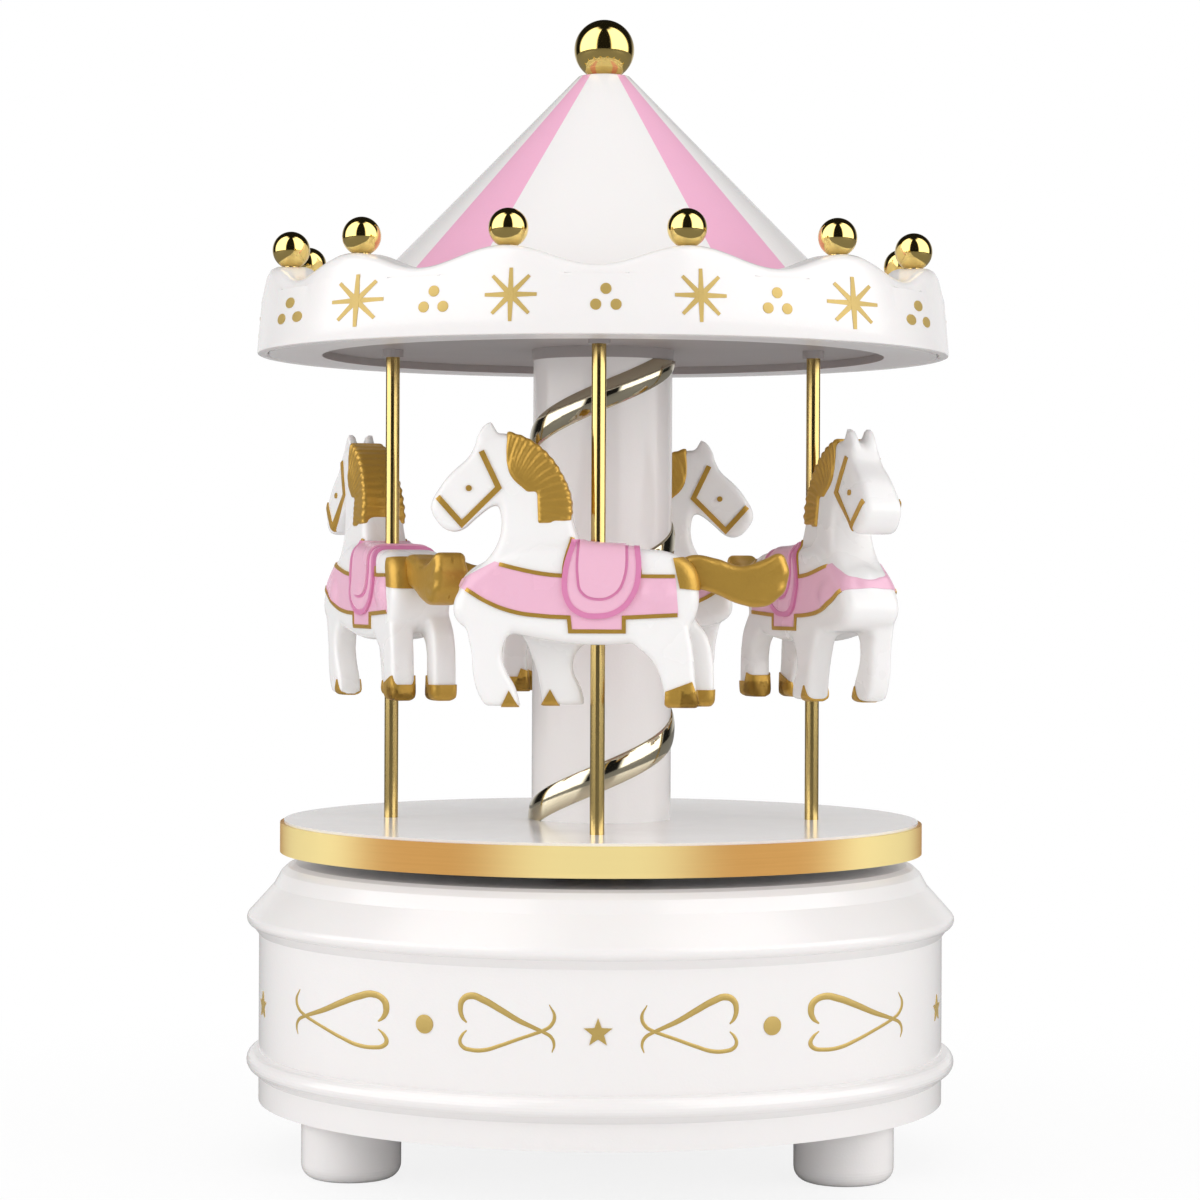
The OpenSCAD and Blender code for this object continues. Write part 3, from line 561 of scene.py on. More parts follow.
def addSky():  # white to the camera, soft light on the toy, and the soft boxes in what it mirrors
    world = bpy.data.worlds.new("studioSky")
    bpy.context.scene.world = world
    world.use_nodes = True
    tree = world.node_tree
    tree.nodes.clear()
    direction = addNode(tree, "ShaderNodeTexCoord").outputs["Generated"]
    height = combine(tree, "MULTIPLY_ADD", splitVector(tree, direction)["Z"], 0.5, 0.5)
    ramp = addNode(tree, "ShaderNodeValToRGB")
    feed(tree, ramp.inputs["Fac"], height)
    stops = studio["skyStops"]
    for _ in stops[2:]:
        ramp.color_ramp.elements.new(0.5)
    for element, (position, colour) in zip(ramp.color_ramp.elements, stops):
        element.position = position
        element.color = (*colour, 1)
    room = addNode(tree, "ShaderNodeGroup", node_tree=makeMirroredRoom(studio["mirrored"]))
    feed(tree, room.inputs["Direction"], direction)
    rays = addNode(tree, "ShaderNodeLightPath").outputs
    light = mixColours(tree, rays["Is Glossy Ray"], ramp.outputs["Color"], room.outputs["Brightness"])
    surround = addNode(tree, "ShaderNodeBackground")
    feed(tree, surround.inputs["Color"], mixColours(tree, rays["Is Camera Ray"], light, (1, 1, 1)))
    feed(tree, addNode(tree, "ShaderNodeOutputWorld").inputs["Surface"], surround.outputs[0])


def addFloor():  # white all the way to the horizon, with the toy's own shadow on it, and clear from below
    bpy.ops.mesh.primitive_plane_add(size=studio["floorSize"])
    floor = bpy.context.object
    floor.name = "studioFloor"
    material = bpy.data.materials.new("floorWhite")
    material.use_nodes = True
    tree = material.node_tree
    tree.nodes.clear()
    rays = addNode(tree, "ShaderNodeLightPath").outputs
    plain, mirrored = ((tone, tone, tone) for tone in studio["floorTones"])
    card = addNode(tree, "ShaderNodeBsdfDiffuse")
    feed(tree, card.inputs["Color"], mixColours(tree, rays["Is Glossy Ray"], plain, mirrored))
    fade = stepBetween(tree, distanceFromAxis(tree), studio["fadeReach"], *studio["fadeShares"])
    share = combine(tree, "MULTIPLY", rays["Is Camera Ray"], fade)
    glow = addNode(tree, "ShaderNodeEmission")
    above = mixShaders(tree, share, card.outputs[0], glow.outputs[0])
    behind = addNode(tree, "ShaderNodeNewGeometry").outputs["Backfacing"]
    clear = addNode(tree, "ShaderNodeBsdfTransparent")
    oneSided = mixShaders(tree, behind, above, clear.outputs[0])
    feed(tree, addNode(tree, "ShaderNodeOutputMaterial").inputs["Surface"], oneSided)
    setMaterials(floor, material)


addLamps()
addSky()
addFloor()
print("stage: studio")

foil = {"halfWidth": 0.13, "roundness": 0.04}  # of stamped stars and dots, in mm

frieze = {
    "radius": 53.8,
    "height": 27.4,
    "turn": 0.7,  # degrees to the right
    "paint": 0.22,  # share of a stroke's width that it stands out
    "strokeWidth": 1.0,
    "starPoints": 5,
    "starRadius": 2.15,
    "starInner": 0.42,  # share of the star's radius
    "dotRadius": 1.36,
    "smoothAngle": 40,
    "upperStroke": (
        (-6.0, -0.1, 0.25), (-6.7, 0.7, 0.6), (-7.0, 2.0, 0.8), (-6.6, 3.2, 0.9), (-5.3, 3.8, 1.0),
        (-3.5, 3.3, 1.0), (-0.9, 2.0, 0.9), (1.9, 0.5, 0.75), (4.0, -0.4, 0.6), (5.6, -1.1, 0.5),
        (6.6, -1.75, 0.5), (7.0, -2.8, 0.4), (6.7, -3.9, 0.15),
    ),
    "lowerStroke": (
        (-6.0, -1.2, 0.2), (-6.7, -1.9, 0.45), (-7.05, -2.9, 0.55), (-6.6, -3.6, 0.6), (-5.4, -3.95, 0.6),
        (-3.3, -3.9, 0.6), (-0.9, -3.15, 0.55), (1.9, -2.1, 0.5), (4.0, -1.35, 0.5), (5.4, -0.8, 0.5),
        (6.5, -0.1, 0.55), (7.05, 1.2, 0.5), (6.3, 2.9, 0.15),
    ),
    "places": (  # shape, degrees from the front, stretch, lift in mm; each is mirrored left to right
        ("star", 0.0, 1.0, -0.9), ("scroll", 14.15, 1.0, 0.15), ("dot", 27.8, 1.05, -0.55),
        ("scroll", 46.2, -1.5, -0.7), ("star", 74.6, 1.2, -2.2), ("dot", 90.0, 1.05, -0.9),
        ("star", 105.4, 1.2, -2.2), ("scroll", 133.8, -1.5, -0.7), ("dot", 152.2, 1.05, -0.55),
        ("scroll", 165.85, 1.0, 0.15), ("star", 180.0, 1.0, -0.9),
    ),
}


def flattenPaint(obj, share):
    for vertex in obj.data.vertices:
        vertex.co.y *= share
    return obj


def starOutline(points, outer, inner):
    ring = []
    for k in range(2 * points):
        angle = math.radians(90 + k * 180 / points)
        reach = inner if k % 2 else outer
        ring.append((reach * math.cos(angle), reach * math.sin(angle)))
    return straight(ring)


def roundOutline(radius, x=0.0, z=0.0):  # eight points of a smooth curve
    angles = [k * math.pi / 4 for k in range(8)]
    return [(x + radius * math.cos(angle), z + radius * math.sin(angle)) for angle in angles]


def wrappedCopies(shapes, cfg, **cone):  # copies of flat shapes, bent round the axis
    copies = []
    for kind, angle, stretch, lift in cfg["places"]:
        for side in (1, -1):
            if side < 0 and angle % 180 == 0:
                continue
            part = copyOf(shapes[kind], kind)
            part.scale.x = stretch * side * (-1 if angle > 90 else 1)
            part.location.z = (cfg["height"] + lift) * mm
            closeMesh(bakePlace(part))
            copies.append(wrapRound(part, cfg["turn"] - side * angle, **cone))
    for shape in shapes.values():
        bpy.data.objects.remove(shape)
    return copies


def makeFrieze(cfg):
    scroll = brushStroke("scroll", [cfg["upperStroke"], cfg["lowerStroke"]], cfg["strokeWidth"])
    star = starOutline(cfg["starPoints"], cfg["starRadius"], cfg["starRadius"] * cfg["starInner"])
    shapes = {
        "scroll": flattenPaint(scroll, cfg["paint"]),
        "star": slab("star", [star], **foil),
        "dot": slab("dot", [roundOutline(cfg["dotRadius"])], **foil),
    }
    paint = joinAll(wrappedCopies(shapes, cfg, radius=cfg["radius"], lean=0, foot=0), "baseFrieze")
    setMaterials(smooth(paint, cfg["smoothAngle"]), goldFoil)
    mount(paint, "base", "gold_plating")


makeFrieze(frieze)
print("stage: frieze")

valanceLow, valanceHigh = (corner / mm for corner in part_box("valance"))
roofLow, roofHigh = (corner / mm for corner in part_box("roof"))

canopy = {
    "foot": valanceLow.z,
    "footRadius": valanceHigh.x,
    "topRadius": valanceHigh.x - 1.2,
    "peak": valanceHigh.z,
    "waveDepth": 1.45,  # half of a dip
    "waveBand": 2.1,  # how far down from the top edge the waves reach
    "waves": 12,
    "wall": 1.6,
    "shelfThick": 1.6,
    "rimWidth": 6.5,
    "roofFoot": roofLow.z,
    "roofRadius": roofHigh.x,
    "roofTop": roofHigh.z,
    "tipRadius": 4.1,
    "pinkFaces": (30.0, 52.5),  # degrees from the front or the back, on both sides
    "steps": 288,
    "roofSteps": 144,
    "valanceSmooth": 32,
    "roofSmooth": 30,
}


def makeValance(cfg):
    foot, peak, top, outer = cfg["foot"], cfg["peak"], cfg["topRadius"], cfg["footRadius"]
    inner, shelf, gutter = top - cfg["rimWidth"], cfg["roofFoot"], cfg["roofRadius"] - 1
    under, thin = shelf - cfg["shelfThick"], cfg["wall"]
    profile = [
        (outer - 0.35, foot), (outer - 0.1, foot + 0.1), (outer, foot + 0.35), (outer - 0.35, foot + 4.4),
        (outer - 0.75, foot + 8.7), (top + 0.12, peak - 2.0), (top - 0.1, peak - 1.1),
        (top - 0.5, peak - 0.45), (top - 1.2, peak - 0.08), (top - 2.2, peak), (inner + 2.6, peak),
        (inner + 1.0, peak), (inner + 0.3, peak - 0.2), (inner, peak - 0.8), (inner, shelf + 0.4),
        (inner - 0.4, shelf), (gutter + 0.4, shelf), (gutter, shelf - 0.3), (gutter, under),
        (top - thin - 0.6, under), (top - thin, under - 0.6), (outer - thin, foot + 0.2),
        (outer - thin + 0.2, foot),
    ]
    valance = spinProfile("valanceShell", profile, cfg["steps"])
    for vertex in valance.data.vertices:
        if vertex.co.z > (peak - cfg["waveBand"]) * mm:
            angle = math.atan2(vertex.co.y, vertex.co.x) * cfg["waves"]
            vertex.co.z -= cfg["waveDepth"] * (1 + math.cos(angle)) * mm
    smooth(valance, cfg["valanceSmooth"])
    setMaterials(valance, whitePlastic)
    mount(valance, "roundabout", "white_plastic", "valance")


def makeRoof(cfg):
    base, top, radius, tip = cfg["roofFoot"], cfg["roofTop"], cfg["roofRadius"], cfg["tipRadius"]
    profile = [
        (radius - 0.2, base + 0.02), (radius, base + 0.15), (radius - 0.05, base + 0.45),
        (tip + 0.2, top - 0.25), (tip, top - 0.06), (tip - 0.2, top), (1.7, top), (1.7, top - 3),
        (tip - 1, top - 3), (radius - 2.4, base + 0.02),
    ]
    roof = spinProfile("roofCone", profile, cfg["roofSteps"])
    setMaterials(roof, whitePlastic, pinkPlastic)
    low, high = cfg["pinkFaces"]
    for face in roof.data.polygons:
        angle = math.degrees(math.atan2(abs(face.center.x), abs(face.center.y)))
        facesUp = face.normal.z > 0.3
        if facesUp and low < angle < high:
            face.material_index = 1
    smooth(roof, cfg["roofSmooth"])
    mount(roof, "roundabout", "roof_two_tone", "roof")


valanceArt = {
    "height": 131.8,
    "turn": 1.4,
    "rays": 8,
    "rayLength": 3.85,
    "rayWidths": (0.85, 0.5),  # at the middle and at the tip
    "dotRadius": 0.8,
    "dotCentres": ((0, 1.131), (1.45, -1.131), (-1.45, -1.131)),
    "smoothAngle": 40,
    "places": (  # shape, degrees from the front, stretch, lift in mm; each is mirrored left to right
        ("trio", 0.0, 1.0, -0.35), ("spark", 14.6, 1.0, 0.0), ("trio", 27.3, 1.1, -0.35),
        ("spark", 42.4, 1.4, 0.0), ("trio", 61.3, 2.0, -0.4), ("spark", 90.0, 1.0, 0.0),
        ("trio", 118.7, 2.0, -0.4), ("spark", 137.6, 1.4, 0.0), ("trio", 152.7, 1.1, -0.35),
        ("spark", 165.4, 1.0, 0.0), ("trio", 180.0, 1.0, -0.35),
    ),
}


def makeValanceArt(cfg, shape):
    middle, tip = (width / 2 for width in cfg["rayWidths"])
    reach = cfg["rayLength"]
    rays = []
    for k in range(cfg["rays"]):
        angle = math.radians(k * 360 / cfg["rays"])
        along, across = (math.cos(angle), math.sin(angle)), (-math.sin(angle), math.cos(angle))
        corners = ((0.0, middle), (reach, tip), (reach, -tip), (0.0, -middle))
        outline = [(a * along[0] + b * across[0], a * along[1] + b * across[1]) for a, b in corners]
        rays.append(slab("ray", [straight(outline)], foil["halfWidth"]))
    dots = [roundOutline(cfg["dotRadius"], x, z) for x, z in cfg["dotCentres"]]
    shapes = {"spark": joinAll(rays, "spark"), "trio": slab("trio", dots, **foil)}
    lean = (shape["footRadius"] - shape["topRadius"]) / (shape["peak"] - shape["foot"])
    copies = wrappedCopies(shapes, cfg, radius=shape["footRadius"], lean=lean, foot=shape["foot"])
    paint = joinAll(copies, "valancePaint")
    setMaterials(smooth(paint, cfg["smoothAngle"]), goldFoil)
    mount(paint, "roundabout", "gold_plating")


balls = {
    "rimRadius": 2.9,
    "rimInset": 3.5,
    "rimSink": 0.5,
    "gap": 0.03,  # between a rim ball and the valance
    "finialRadius": 4.75,
    "finialSink": 0.3,
    "seat": 0.12,  # share of the radius that is cut flat
    "pegInset": 0.06,  # share of the radius
    "segments": 56,
    "rings": 32,
    "smoothAngle": 40,
}


def makeBall(name, radius, sink, cfg):  # with a flat seat, and a peg that sinks into what carries it
    bpy.ops.mesh.primitive_uv_sphere_add(
        segments=cfg["segments"], ring_count=cfg["rings"], radius=radius * mm)
    ball = bpy.context.object
    ball.name = name
    bpy.ops.object.mode_set(mode="EDIT")
    bpy.ops.mesh.select_all(action="SELECT")
    flat = -(1 - cfg["seat"]) * radius * mm
    bpy.ops.mesh.bisect(plane_co=(0, 0, flat), plane_no=(0, 0, 1), clear_inner=True, use_fill=True)
    bpy.ops.mesh.select_all(action="DESELECT")
    bpy.ops.object.mode_set(mode="OBJECT")
    for face in ball.data.polygons:
        facesDown, onSeat = face.normal.z < -0.99, abs(face.center.z - flat) < 0.01 * mm
        face.select = facesDown and onSeat
    bpy.ops.object.mode_set(mode="EDIT")
    bpy.ops.mesh.inset(thickness=cfg["pegInset"] * radius * mm)
    bpy.ops.mesh.extrude_region_move(TRANSFORM_OT_translate={"value": (0, 0, -sink * mm)})
    bpy.ops.object.mode_set(mode="OBJECT")
    return smooth(closeMesh(ball), cfg["smoothAngle"])


def makeBalls(cfg, shape):
    radius = cfg["rimRadius"]
    ball = makeBall("rimBall", radius, cfg["rimSink"], cfg)
    reach = shape["topRadius"] - cfg["rimInset"]
    height = shape["peak"] + radius * (1 - cfg["seat"]) + cfg["gap"]
    rim = []
    for k in range(shape["waves"]):
        angle = math.radians((k + 0.5) * 360 / shape["waves"])
        twin = copyOf(ball, "rimBall")
        twin.location = Vector((reach * math.cos(angle), reach * math.sin(angle), height)) * mm
        rim.append(twin)
    bpy.data.objects.remove(ball)
    rim = joinAll(rim, "rimBallSet")
    setMaterials(rim, mirrorGold)
    mount(rim, "roundabout", "gold_plating", "rim_balls")
    finial = makeBall("finialBall", cfg["finialRadius"], cfg["finialSink"], cfg)
    finial.location.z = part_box("finial_ball")[1].z - cfg["finialRadius"] * mm
    bakePlace(finial)
    setMaterials(finial, mirrorGold)
    mount(finial, "roundabout", "gold_plating", "finial_ball")


makeValance(canopy)
makeRoof(canopy)
makeValanceArt(valanceArt, canopy)
makeBalls(balls, canopy)
print("stage: canopy")

ribbon = {
    "columnRadius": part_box("column")[1].x / mm,
    "pitch": 29.6,
    "width": 4.6,
    "bulge": 0.55,  # of its middle over its edges
    "low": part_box("spiral_strip")[0].z / mm,
    "high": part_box("spiral_strip")[1].z / mm,
    "zeroAt": 126.9,  # height at which it passes the +X side
    "sunk": 0.15,  # into the column
    "rise": 0.05,  # of its edges over the column
    "points": 12,
    "stepsPerTurn": 96,
    "smoothAngle": 50,
}


def makeRibbon(cfg):
    start = cfg["low"] - cfg["width"]
    turns = (cfg["high"] + cfg["width"] - start) / cfg["pitch"]
    inner, edge, half = cfg["columnRadius"] - cfg["sunk"], cfg["sunk"] + cfg["rise"], cfg["width"] / 2
    angles = [math.pi * k / cfg["points"] for k in range(cfg["points"] + 1)]
    loop = [(inner + edge + cfg["bulge"] * math.sin(angle), -half * math.cos(angle)) for angle in angles]
    loop += [(inner, half), (inner, -half)]
    count = len(loop)
    edges = [(i, (i + 1) % count) for i in range(count)]
    obj = addMesh("spiralRibbon", [(r, 0, z) for r, z in loop], edges)
    winding = obj.modifiers.new("winding", "SCREW")
    winding.angle = 2 * math.pi * turns
    winding.screw_offset = (cfg["high"] + cfg["width"] - start) * mm
    winding.steps = winding.render_steps = int(cfg["stepsPerTurn"] * turns)
    winding.use_merge_vertices = False
    applyModifiers(obj)
    obj.rotation_euler.z = 2 * math.pi * (start - cfg["zeroAt"]) / cfg["pitch"]
    obj.location.z = start * mm
    bakePlace(obj)
    bpy.ops.object.mode_set(mode="EDIT")
    for height, up in ((cfg["low"], 1), (cfg["high"], -1)):
        bpy.ops.mesh.select_all(action="SELECT")
        bpy.ops.mesh.bisect(
            plane_co=(0, 0, height * mm), plane_no=(0, 0, up), clear_inner=True, use_fill=True)
    bpy.ops.object.mode_set(mode="OBJECT")
    smooth(closeMesh(obj), cfg["smoothAngle"])
    setMaterials(obj, champagneGold)
    mount(obj, "roundabout", "champagne_gold", "spiral_strip")


makeRibbon(ribbon)
print("stage: ribbon")

horse = {  # outlines are (forward, up) in mm from the pole's axis at the hooves; "c" keeps a corner sharp
    "voxel": 0.42,
    "softenSteps": 9,
    "outlineSteps": 5,  # between two points of an outline
    "smoothAngle": 40,
    "boreRadius": 1.2,
    "boreLength": 100,
    "boreSides": 32,
    "halfReach": 9.0,  # of a cutting shape to either side, past the body's own
    "neckTaper": ((18.0, 1.3), (40.0, 0.82)),  # height, share of the width
    "slabs": (  # half width, rounding, distance to the side, outline as (forward, up)
        (4.9, 1.7, 0.0, (
            (20.2, 17.4), (21.3, 15.0), (21.0, 12.8), (18.6, 11.2), (13, 10.7), (8, 9.8), (3.9, 9.2),
            (-1, 9.0), (-5.2, 9.3), (-9, 9.9), (-13, 11.3), (-14.7, 14), (-14.9, 17.5), (-14, 20.6),
            (-10.8, 22.7), (-6.3, 23.2), (-1, 23.4), (3.7, 23.8), (8, 24), (14, 22), (18, 19.6))),
        (1.9, 0.7, 2.9, (
            (19.5, 14), (19.2, 10.8), (18.6, 7.9), (18.3, 4.4), (17.3, 1.2), (16.4, 0.0, "c"),
            (11.3, 0.0, "c"), (12.2, 2.9), (13.4, 5), (14.1, 7.4), (13.4, 10.2), (10, 14))),
        (1.9, 0.7, -2.9, (
            (11.5, 12), (10.4, 8.5), (9.2, 5), (8.6, 2), (8.4, 0.0, "c"), (1.9, 0.0, "c"), (2.5, 2.5),
            (3.7, 5), (3.4, 7.5), (2, 9.5), (3, 13))),
        (1.9, 0.7, 2.9, (
            (-3, 13), (-5.2, 9.4), (-8, 6.8), (-9.5, 3.5), (-10.1, 0.0, "c"), (-14.8, 0.0, "c"),
            (-14.4, 4.4), (-14, 8.9), (-13.2, 12.3), (-12, 15))),
        (1.9, 0.7, -2.9, (
            (-12, 14), (-15.6, 11.5), (-17, 8), (-17.3, 4), (-17.2, 0.0, "c"), (-12.6, 0.0, "c"),
            (-13, 4), (-12.6, 8), (-9, 12))),
    ),
    "neck": (3.2, 1.1, 0.0, (
        (19.6, 18.6), (16.9, 21.1), (15.1, 23.5), (14.3, 26.5), (14.9, 30.2), (17, 35), (15.2, 40),
        (12.6, 40), (10.2, 38.7), (7.5, 36.4), (5.6, 33.7), (4.2, 30.6), (3.6, 27), (2.6, 23.5),
        (4, 18), (12, 15), (19, 15))),
    "head": (3.1, 0.9, 0.0, (
        (16.2, 39.9), (17.9, 39), (19.2, 36.8), (21.8, 34.4), (23.5, 32.2), (24.8, 29.4), (24.2, 27.7),
        (21.9, 25.7), (20.4, 25.9), (18.2, 27.7), (16, 29.4), (14, 30.2), (12.3, 32), (12.3, 36),
        (13.7, 39))),
    "ear": (0.75, 0.25, 1.5, ((14.6, 38.0), (15.3, 40.8), (16.0, 42.1, "c"), (17.2, 41.2), (17.9, 38.2))),
    "muscles": (  # forward, up, then the three half sizes
        (-9.0, 16.6, 5.9, 5.6, 5.6), (14.6, 16.4, 6.2, 5.4, 5.2), (2.0, 16.2, 12.0, 5.25, 6.6)),
    "pinkBand": (
        (21.6, 18.0, "c"), (15.2, 21.3, "c"), (11.7, 20.2), (8.1, 19.5), (5.1, 19.2, "c"),
        (-6.4, 19.2, "c"), (-11.5, 19.0, "c"), (-11.9, 13.5, "c"), (-4, 13.2, "c"), (-4, 10.9, "c"),
        (4, 10.9, "c"), (4.1, 13.2, "c"), (8.2, 13.4), (12.4, 14.0), (16.2, 15.3), (19.6, 17.1)),
    "goldLines": (  # width, then the line
        (0.6, ((14.5, 20.9), (11.7, 20.2), (8.1, 19.5), (5.0, 19.2, "c"), (4.8, 21.1), (3.7, 24.9))),
        (0.55, ((-11.4, 19.2), (-6.3, 19.2, "c"), (-5.9, 23.6))),
        (0.6, ((19.4, 17.2), (16.2, 15.3), (12.4, 13.9), (8.2, 13.3), (4.2, 13.1, "c"), (4.0, 11.05, "c"),
               (-3.9, 11.05, "c"), (-3.9, 13.1, "c"), (-11.8, 13.5))),
        (0.85, ((17.3, 37.6, "c"), (14.7, 32.2, "c"), (20.1, 26.8, "c"), (23.7, 30.8, "c"))),
    ),
    "goldPatches": (
        ((14.2, -0.2, "c"), (13.0, 2.3, "c"), (11.5, -0.2, "c")),
        ((8.6, -0.2, "c"), (7.1, 2.3, "c"), (5.7, -0.2, "c")),
        ((-9.9, -0.2, "c"), (-10.0, 2.2, "c"), (-14.0, 3.7, "c"), (-15.4, -0.2, "c")),
        ((-12.2, -0.2, "c"), (-12.4, 2.3, "c"), (-17.8, 2.3, "c"), (-17.8, -0.2, "c")),
        ((-11.1, 21.9, "c"), (-16.5, 22.6, "c"), (-16.5, 17.0, "c"), (-12.1, 17.4, "c"), (-11.6, 19.6, "c")),
    ),
    "eye": (19.1, 32.1, 0.45),
    "flap": ((3.4, 24.6, "c"), (4.8, 19.2), (4.4, 15.6), (2.9, 13.9), (0.1, 13.3), (-3.2, 14.2), (-5.2, 16.5),
             (-6.0, 19.4), (-5.7, 24.4, "c")),
    "innerFlap": ((2.6, 24.6, "c"), (2.7, 18.8), (2.15, 16.9), (0.25, 16.0), (-2.4, 16.7), (-3.7, 18.8),
                  (-4.1, 24.4, "c")),
    "roseWidth": 0.8,
    "rises": {"pink": 0.14, "gold": 0.24, "flap": 0.45, "rose": 0.55, "innerFlap": 0.8},
    "mane": (3.55, 0.6, 0.0, (
        (13.5, 40.7, "c"), (10.2, 39.5), (7.4, 37.3), (5.3, 34.3), (3.95, 30.8), (3.8, 27.4, "c"),
        (8.9, 26.7, "c"), (9.1, 31.5, "c"), (10.5, 31.5, "c"), (13.1, 34.1), (13.7, 37.7))),
    "tail": (2.7, 1.2, 0.0, (
        (-11.0, 21.2, "c"), (-14.1, 22.4), (-17.5, 21.9), (-21.2, 20.8), (-24.6, 21.8), (-27.2, 22.6),
        (-28.2, 20.8), (-28.1, 18.2), (-27.0, 16.2), (-24.4, 14.7), (-21.0, 15.1), (-17.4, 16.6),
        (-14.5, 17.4), (-11.2, 17.6, "c"))),
    "maneSoftenSteps": 2,
    "tailSoftenSteps": 3,
    "fineVoxel": 0.26,
    "grooveDepth": 0.2,
    "maneGrooves": {"centre": (14.5, 29.5), "count": 46, "start": 4.5, "full": 7.5},
    "tailGrooves": {"centre": (-20.5, 18.2), "count": 16, "start": 3.0, "full": 7.0},
    "copies": (  # node, its place round the axis and its turn on the pole, in degrees
        ("horse_front", -90, 0), ("horse_left", 180, 23.5),
        ("horse_back", 90, 0), ("horse_right", 0, 23.5)),
}


def sideSlab(name, spec, steps):
    halfWidth, roundness, aside, outline = spec
    obj = slab(name, [outline], halfWidth, roundness, steps)
    obj.location.y = aside * mm
    return bakePlace(obj)


def taperNeck(obj, taper):
    (low, wide), (high, narrow) = taper
    for vertex in obj.data.vertices:
        share = min(max((vertex.co.z / mm - low) / (high - low), 0), 1)
        vertex.co.y *= wide + (narrow - wide) * share
    return obj


def fuse(obj, voxel, softenSteps):  # one skin over overlapping solids, with its corners softened
    remesh = obj.modifiers.new("fuse", "REMESH")
    remesh.mode = "VOXEL"
    remesh.voxel_size = voxel * mm
    soften = obj.modifiers.new("soften", "SMOOTH")
    soften.factor = 0.5
    soften.iterations = softenSteps
    return applyModifiers(obj)


def cutBy(obj, tool, operation):
    cut = obj.modifiers.new("cut", "BOOLEAN")
    cut.operation = operation
    cut.solver = "MANIFOLD"
    cut.object = tool
    return applyModifiers(obj)


def makeHorseBody(cfg):
    steps = cfg["outlineSteps"]
    parts = [sideSlab("limb", spec, steps) for spec in cfg["slabs"]]
    parts += [taperNeck(sideSlab(name, cfg[name], steps), cfg["neckTaper"]) for name in ("neck", "head")]
    for side in (1, -1):
        halfWidth, roundness, aside, outline = cfg["ear"]
        parts.append(sideSlab("ear", (halfWidth, roundness, side * aside, outline), steps))
    for forward, up, *halves in cfg["muscles"]:
        bpy.ops.mesh.primitive_uv_sphere_add(radius=mm, location=(forward * mm, 0, up * mm), scale=halves)
        parts.append(bakePlace(bpy.context.object))
    body = fuse(joinAll(parts, "horseBody"), cfg["voxel"], cfg["softenSteps"])
    bpy.ops.mesh.primitive_cylinder_add(
        radius=cfg["boreRadius"] * mm, depth=cfg["boreLength"] * mm, vertices=cfg["boreSides"])
    bore = bpy.context.object
    cutBy(body, bore, "DIFFERENCE")
    return body, bore


def prism(outline, halfReach):
    return slab("prism", [outline], halfReach)


def strip(name, width, line, halfReach):  # a wall along a line, as thick as the painted stroke is wide
    obj = addCurve(name, [line], closed=False, flat=True)
    obj.data.fill_mode = "NONE"
    obj.data.resolution_u = 6
    obj.data.extrude = halfReach * mm
    uprightMesh(obj)
    wall = obj.modifiers.new("wall", "SOLIDIFY")
    wall.thickness = width * mm
    wall.offset = 0
    wall.use_even_offset = True
    return applyModifiers(obj)


def paintedPart(name, body, bore, shapes, rise, material):  # the body inside the shapes, raised a little
    parts = []
    for shape in shapes:
        part = copyOf(body, name)
        swell = part.modifiers.new("swell", "DISPLACE")
        swell.mid_level = 0
        swell.strength = rise * mm
        applyModifiers(part)
        cutBy(part, shape, "INTERSECT")
        cutBy(part, bore, "DIFFERENCE")
        parts.append(part)
        bpy.data.objects.remove(shape)
    painted = joinAll(parts, name)
    setMaterials(painted, material)
    return painted


def groove(obj, depth, centre, count, start, full):  # a fan of fine grooves that spreads from a point
    sway = 0.7
    for vertex in obj.data.vertices:
        x, y, z = vertex.co / mm
        reach = math.hypot(x - centre[0], z - centre[1])
        angle = math.atan2(z - centre[1], x - centre[0])
        amount = min(max((reach - start) / (full - start), 0), 1)
        sink = depth * amount * (0.5 + 0.5 * math.cos(angle * count + sway * math.sin(reach)))
        vertex.co.y -= math.copysign(min(sink, abs(y)), y) * mm
        vertex.co.x -= (x - centre[0]) / max(reach, 1) * sink * 0.5 * mm
        vertex.co.z -= (z - centre[1]) / max(reach, 1) * sink * 0.5 * mm
    return obj


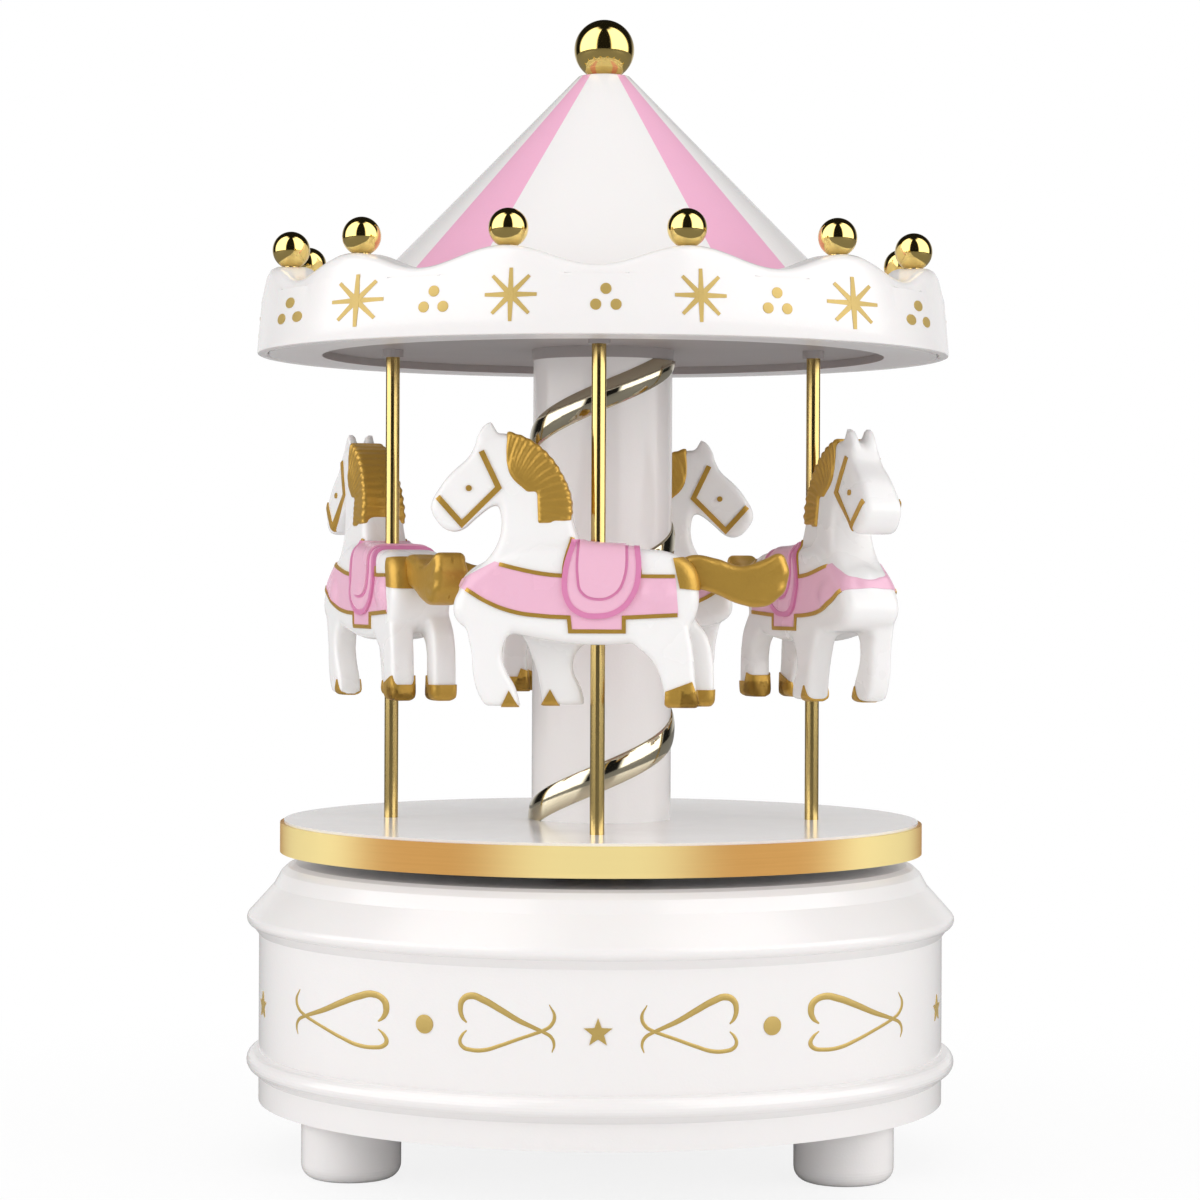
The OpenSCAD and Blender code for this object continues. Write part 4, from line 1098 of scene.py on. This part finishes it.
def makeHair(name, cfg):
    hair = sideSlab(name, cfg[name], cfg["outlineSteps"])
    if name == "mane":
        taperNeck(hair, cfg["neckTaper"])
    fuse(hair, cfg["fineVoxel"], cfg[name + "SoftenSteps"])
    groove(hair, cfg["grooveDepth"], **cfg[name + "Grooves"])
    setMaterials(hair, goldPaint)
    return hair


def makeHorse(cfg):
    body, bore = makeHorseBody(cfg)
    rises, reach = cfg["rises"], cfg["halfReach"]
    eyeForward, eyeUp, eyeRadius = cfg["eye"]
    eye = roundOutline(eyeRadius, eyeForward, eyeUp)
    golds = [strip("goldLine", width, line, reach) for width, line in cfg["goldLines"]]
    golds += [prism(outline, reach) for outline in (*cfg["goldPatches"], eye)]
    roses = [strip("roseLine", cfg["roseWidth"], cfg[line], reach) for line in ("flap", "innerFlap")]
    pink, flap, innerFlap = (prism(cfg[outline], reach) for outline in ("pinkBand", "flap", "innerFlap"))
    parts = [
        paintedPart("pinkBand", body, bore, [pink], rises["pink"], tackPink),
        paintedPart("goldTrim", body, bore, golds, rises["gold"], goldPaint),
        paintedPart("saddleFlap", body, bore, [flap], rises["flap"], tackPink),
        paintedPart("innerFlap", body, bore, [innerFlap], rises["innerFlap"], tackPink),
        paintedPart("roseTrim", body, bore, roses, rises["rose"], tackRose),
    ]
    hair = [makeHair(name, cfg) for name in ("mane", "tail")]
    setMaterials(body, horsePlastic)
    bpy.data.objects.remove(bore)
    return smooth(joinAll([*hair, *parts, body], "horse"), cfg["smoothAngle"])


def makeHorses(cfg):
    poleLow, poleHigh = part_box("pole_right")
    ring = Vector(((poleLow.x + poleHigh.x) / 2, 0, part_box("horse_right")[0].z))
    model = makeHorse(cfg)
    for node, place, turn in cfg["copies"]:
        twin = copyOf(model, node + "Dressed")
        twin.matrix_world = (
            Matrix.Rotation(math.radians(place), 4, "Z") @ Matrix.Translation(ring)
            @ Matrix.Rotation(math.radians(turn - 90), 4, "Z")
        )
        bakePlace(twin)
        mount(twin, "roundabout", "horse_white", node)
    bpy.data.objects.remove(model)


makeHorses(horse)
print("stage: horses")
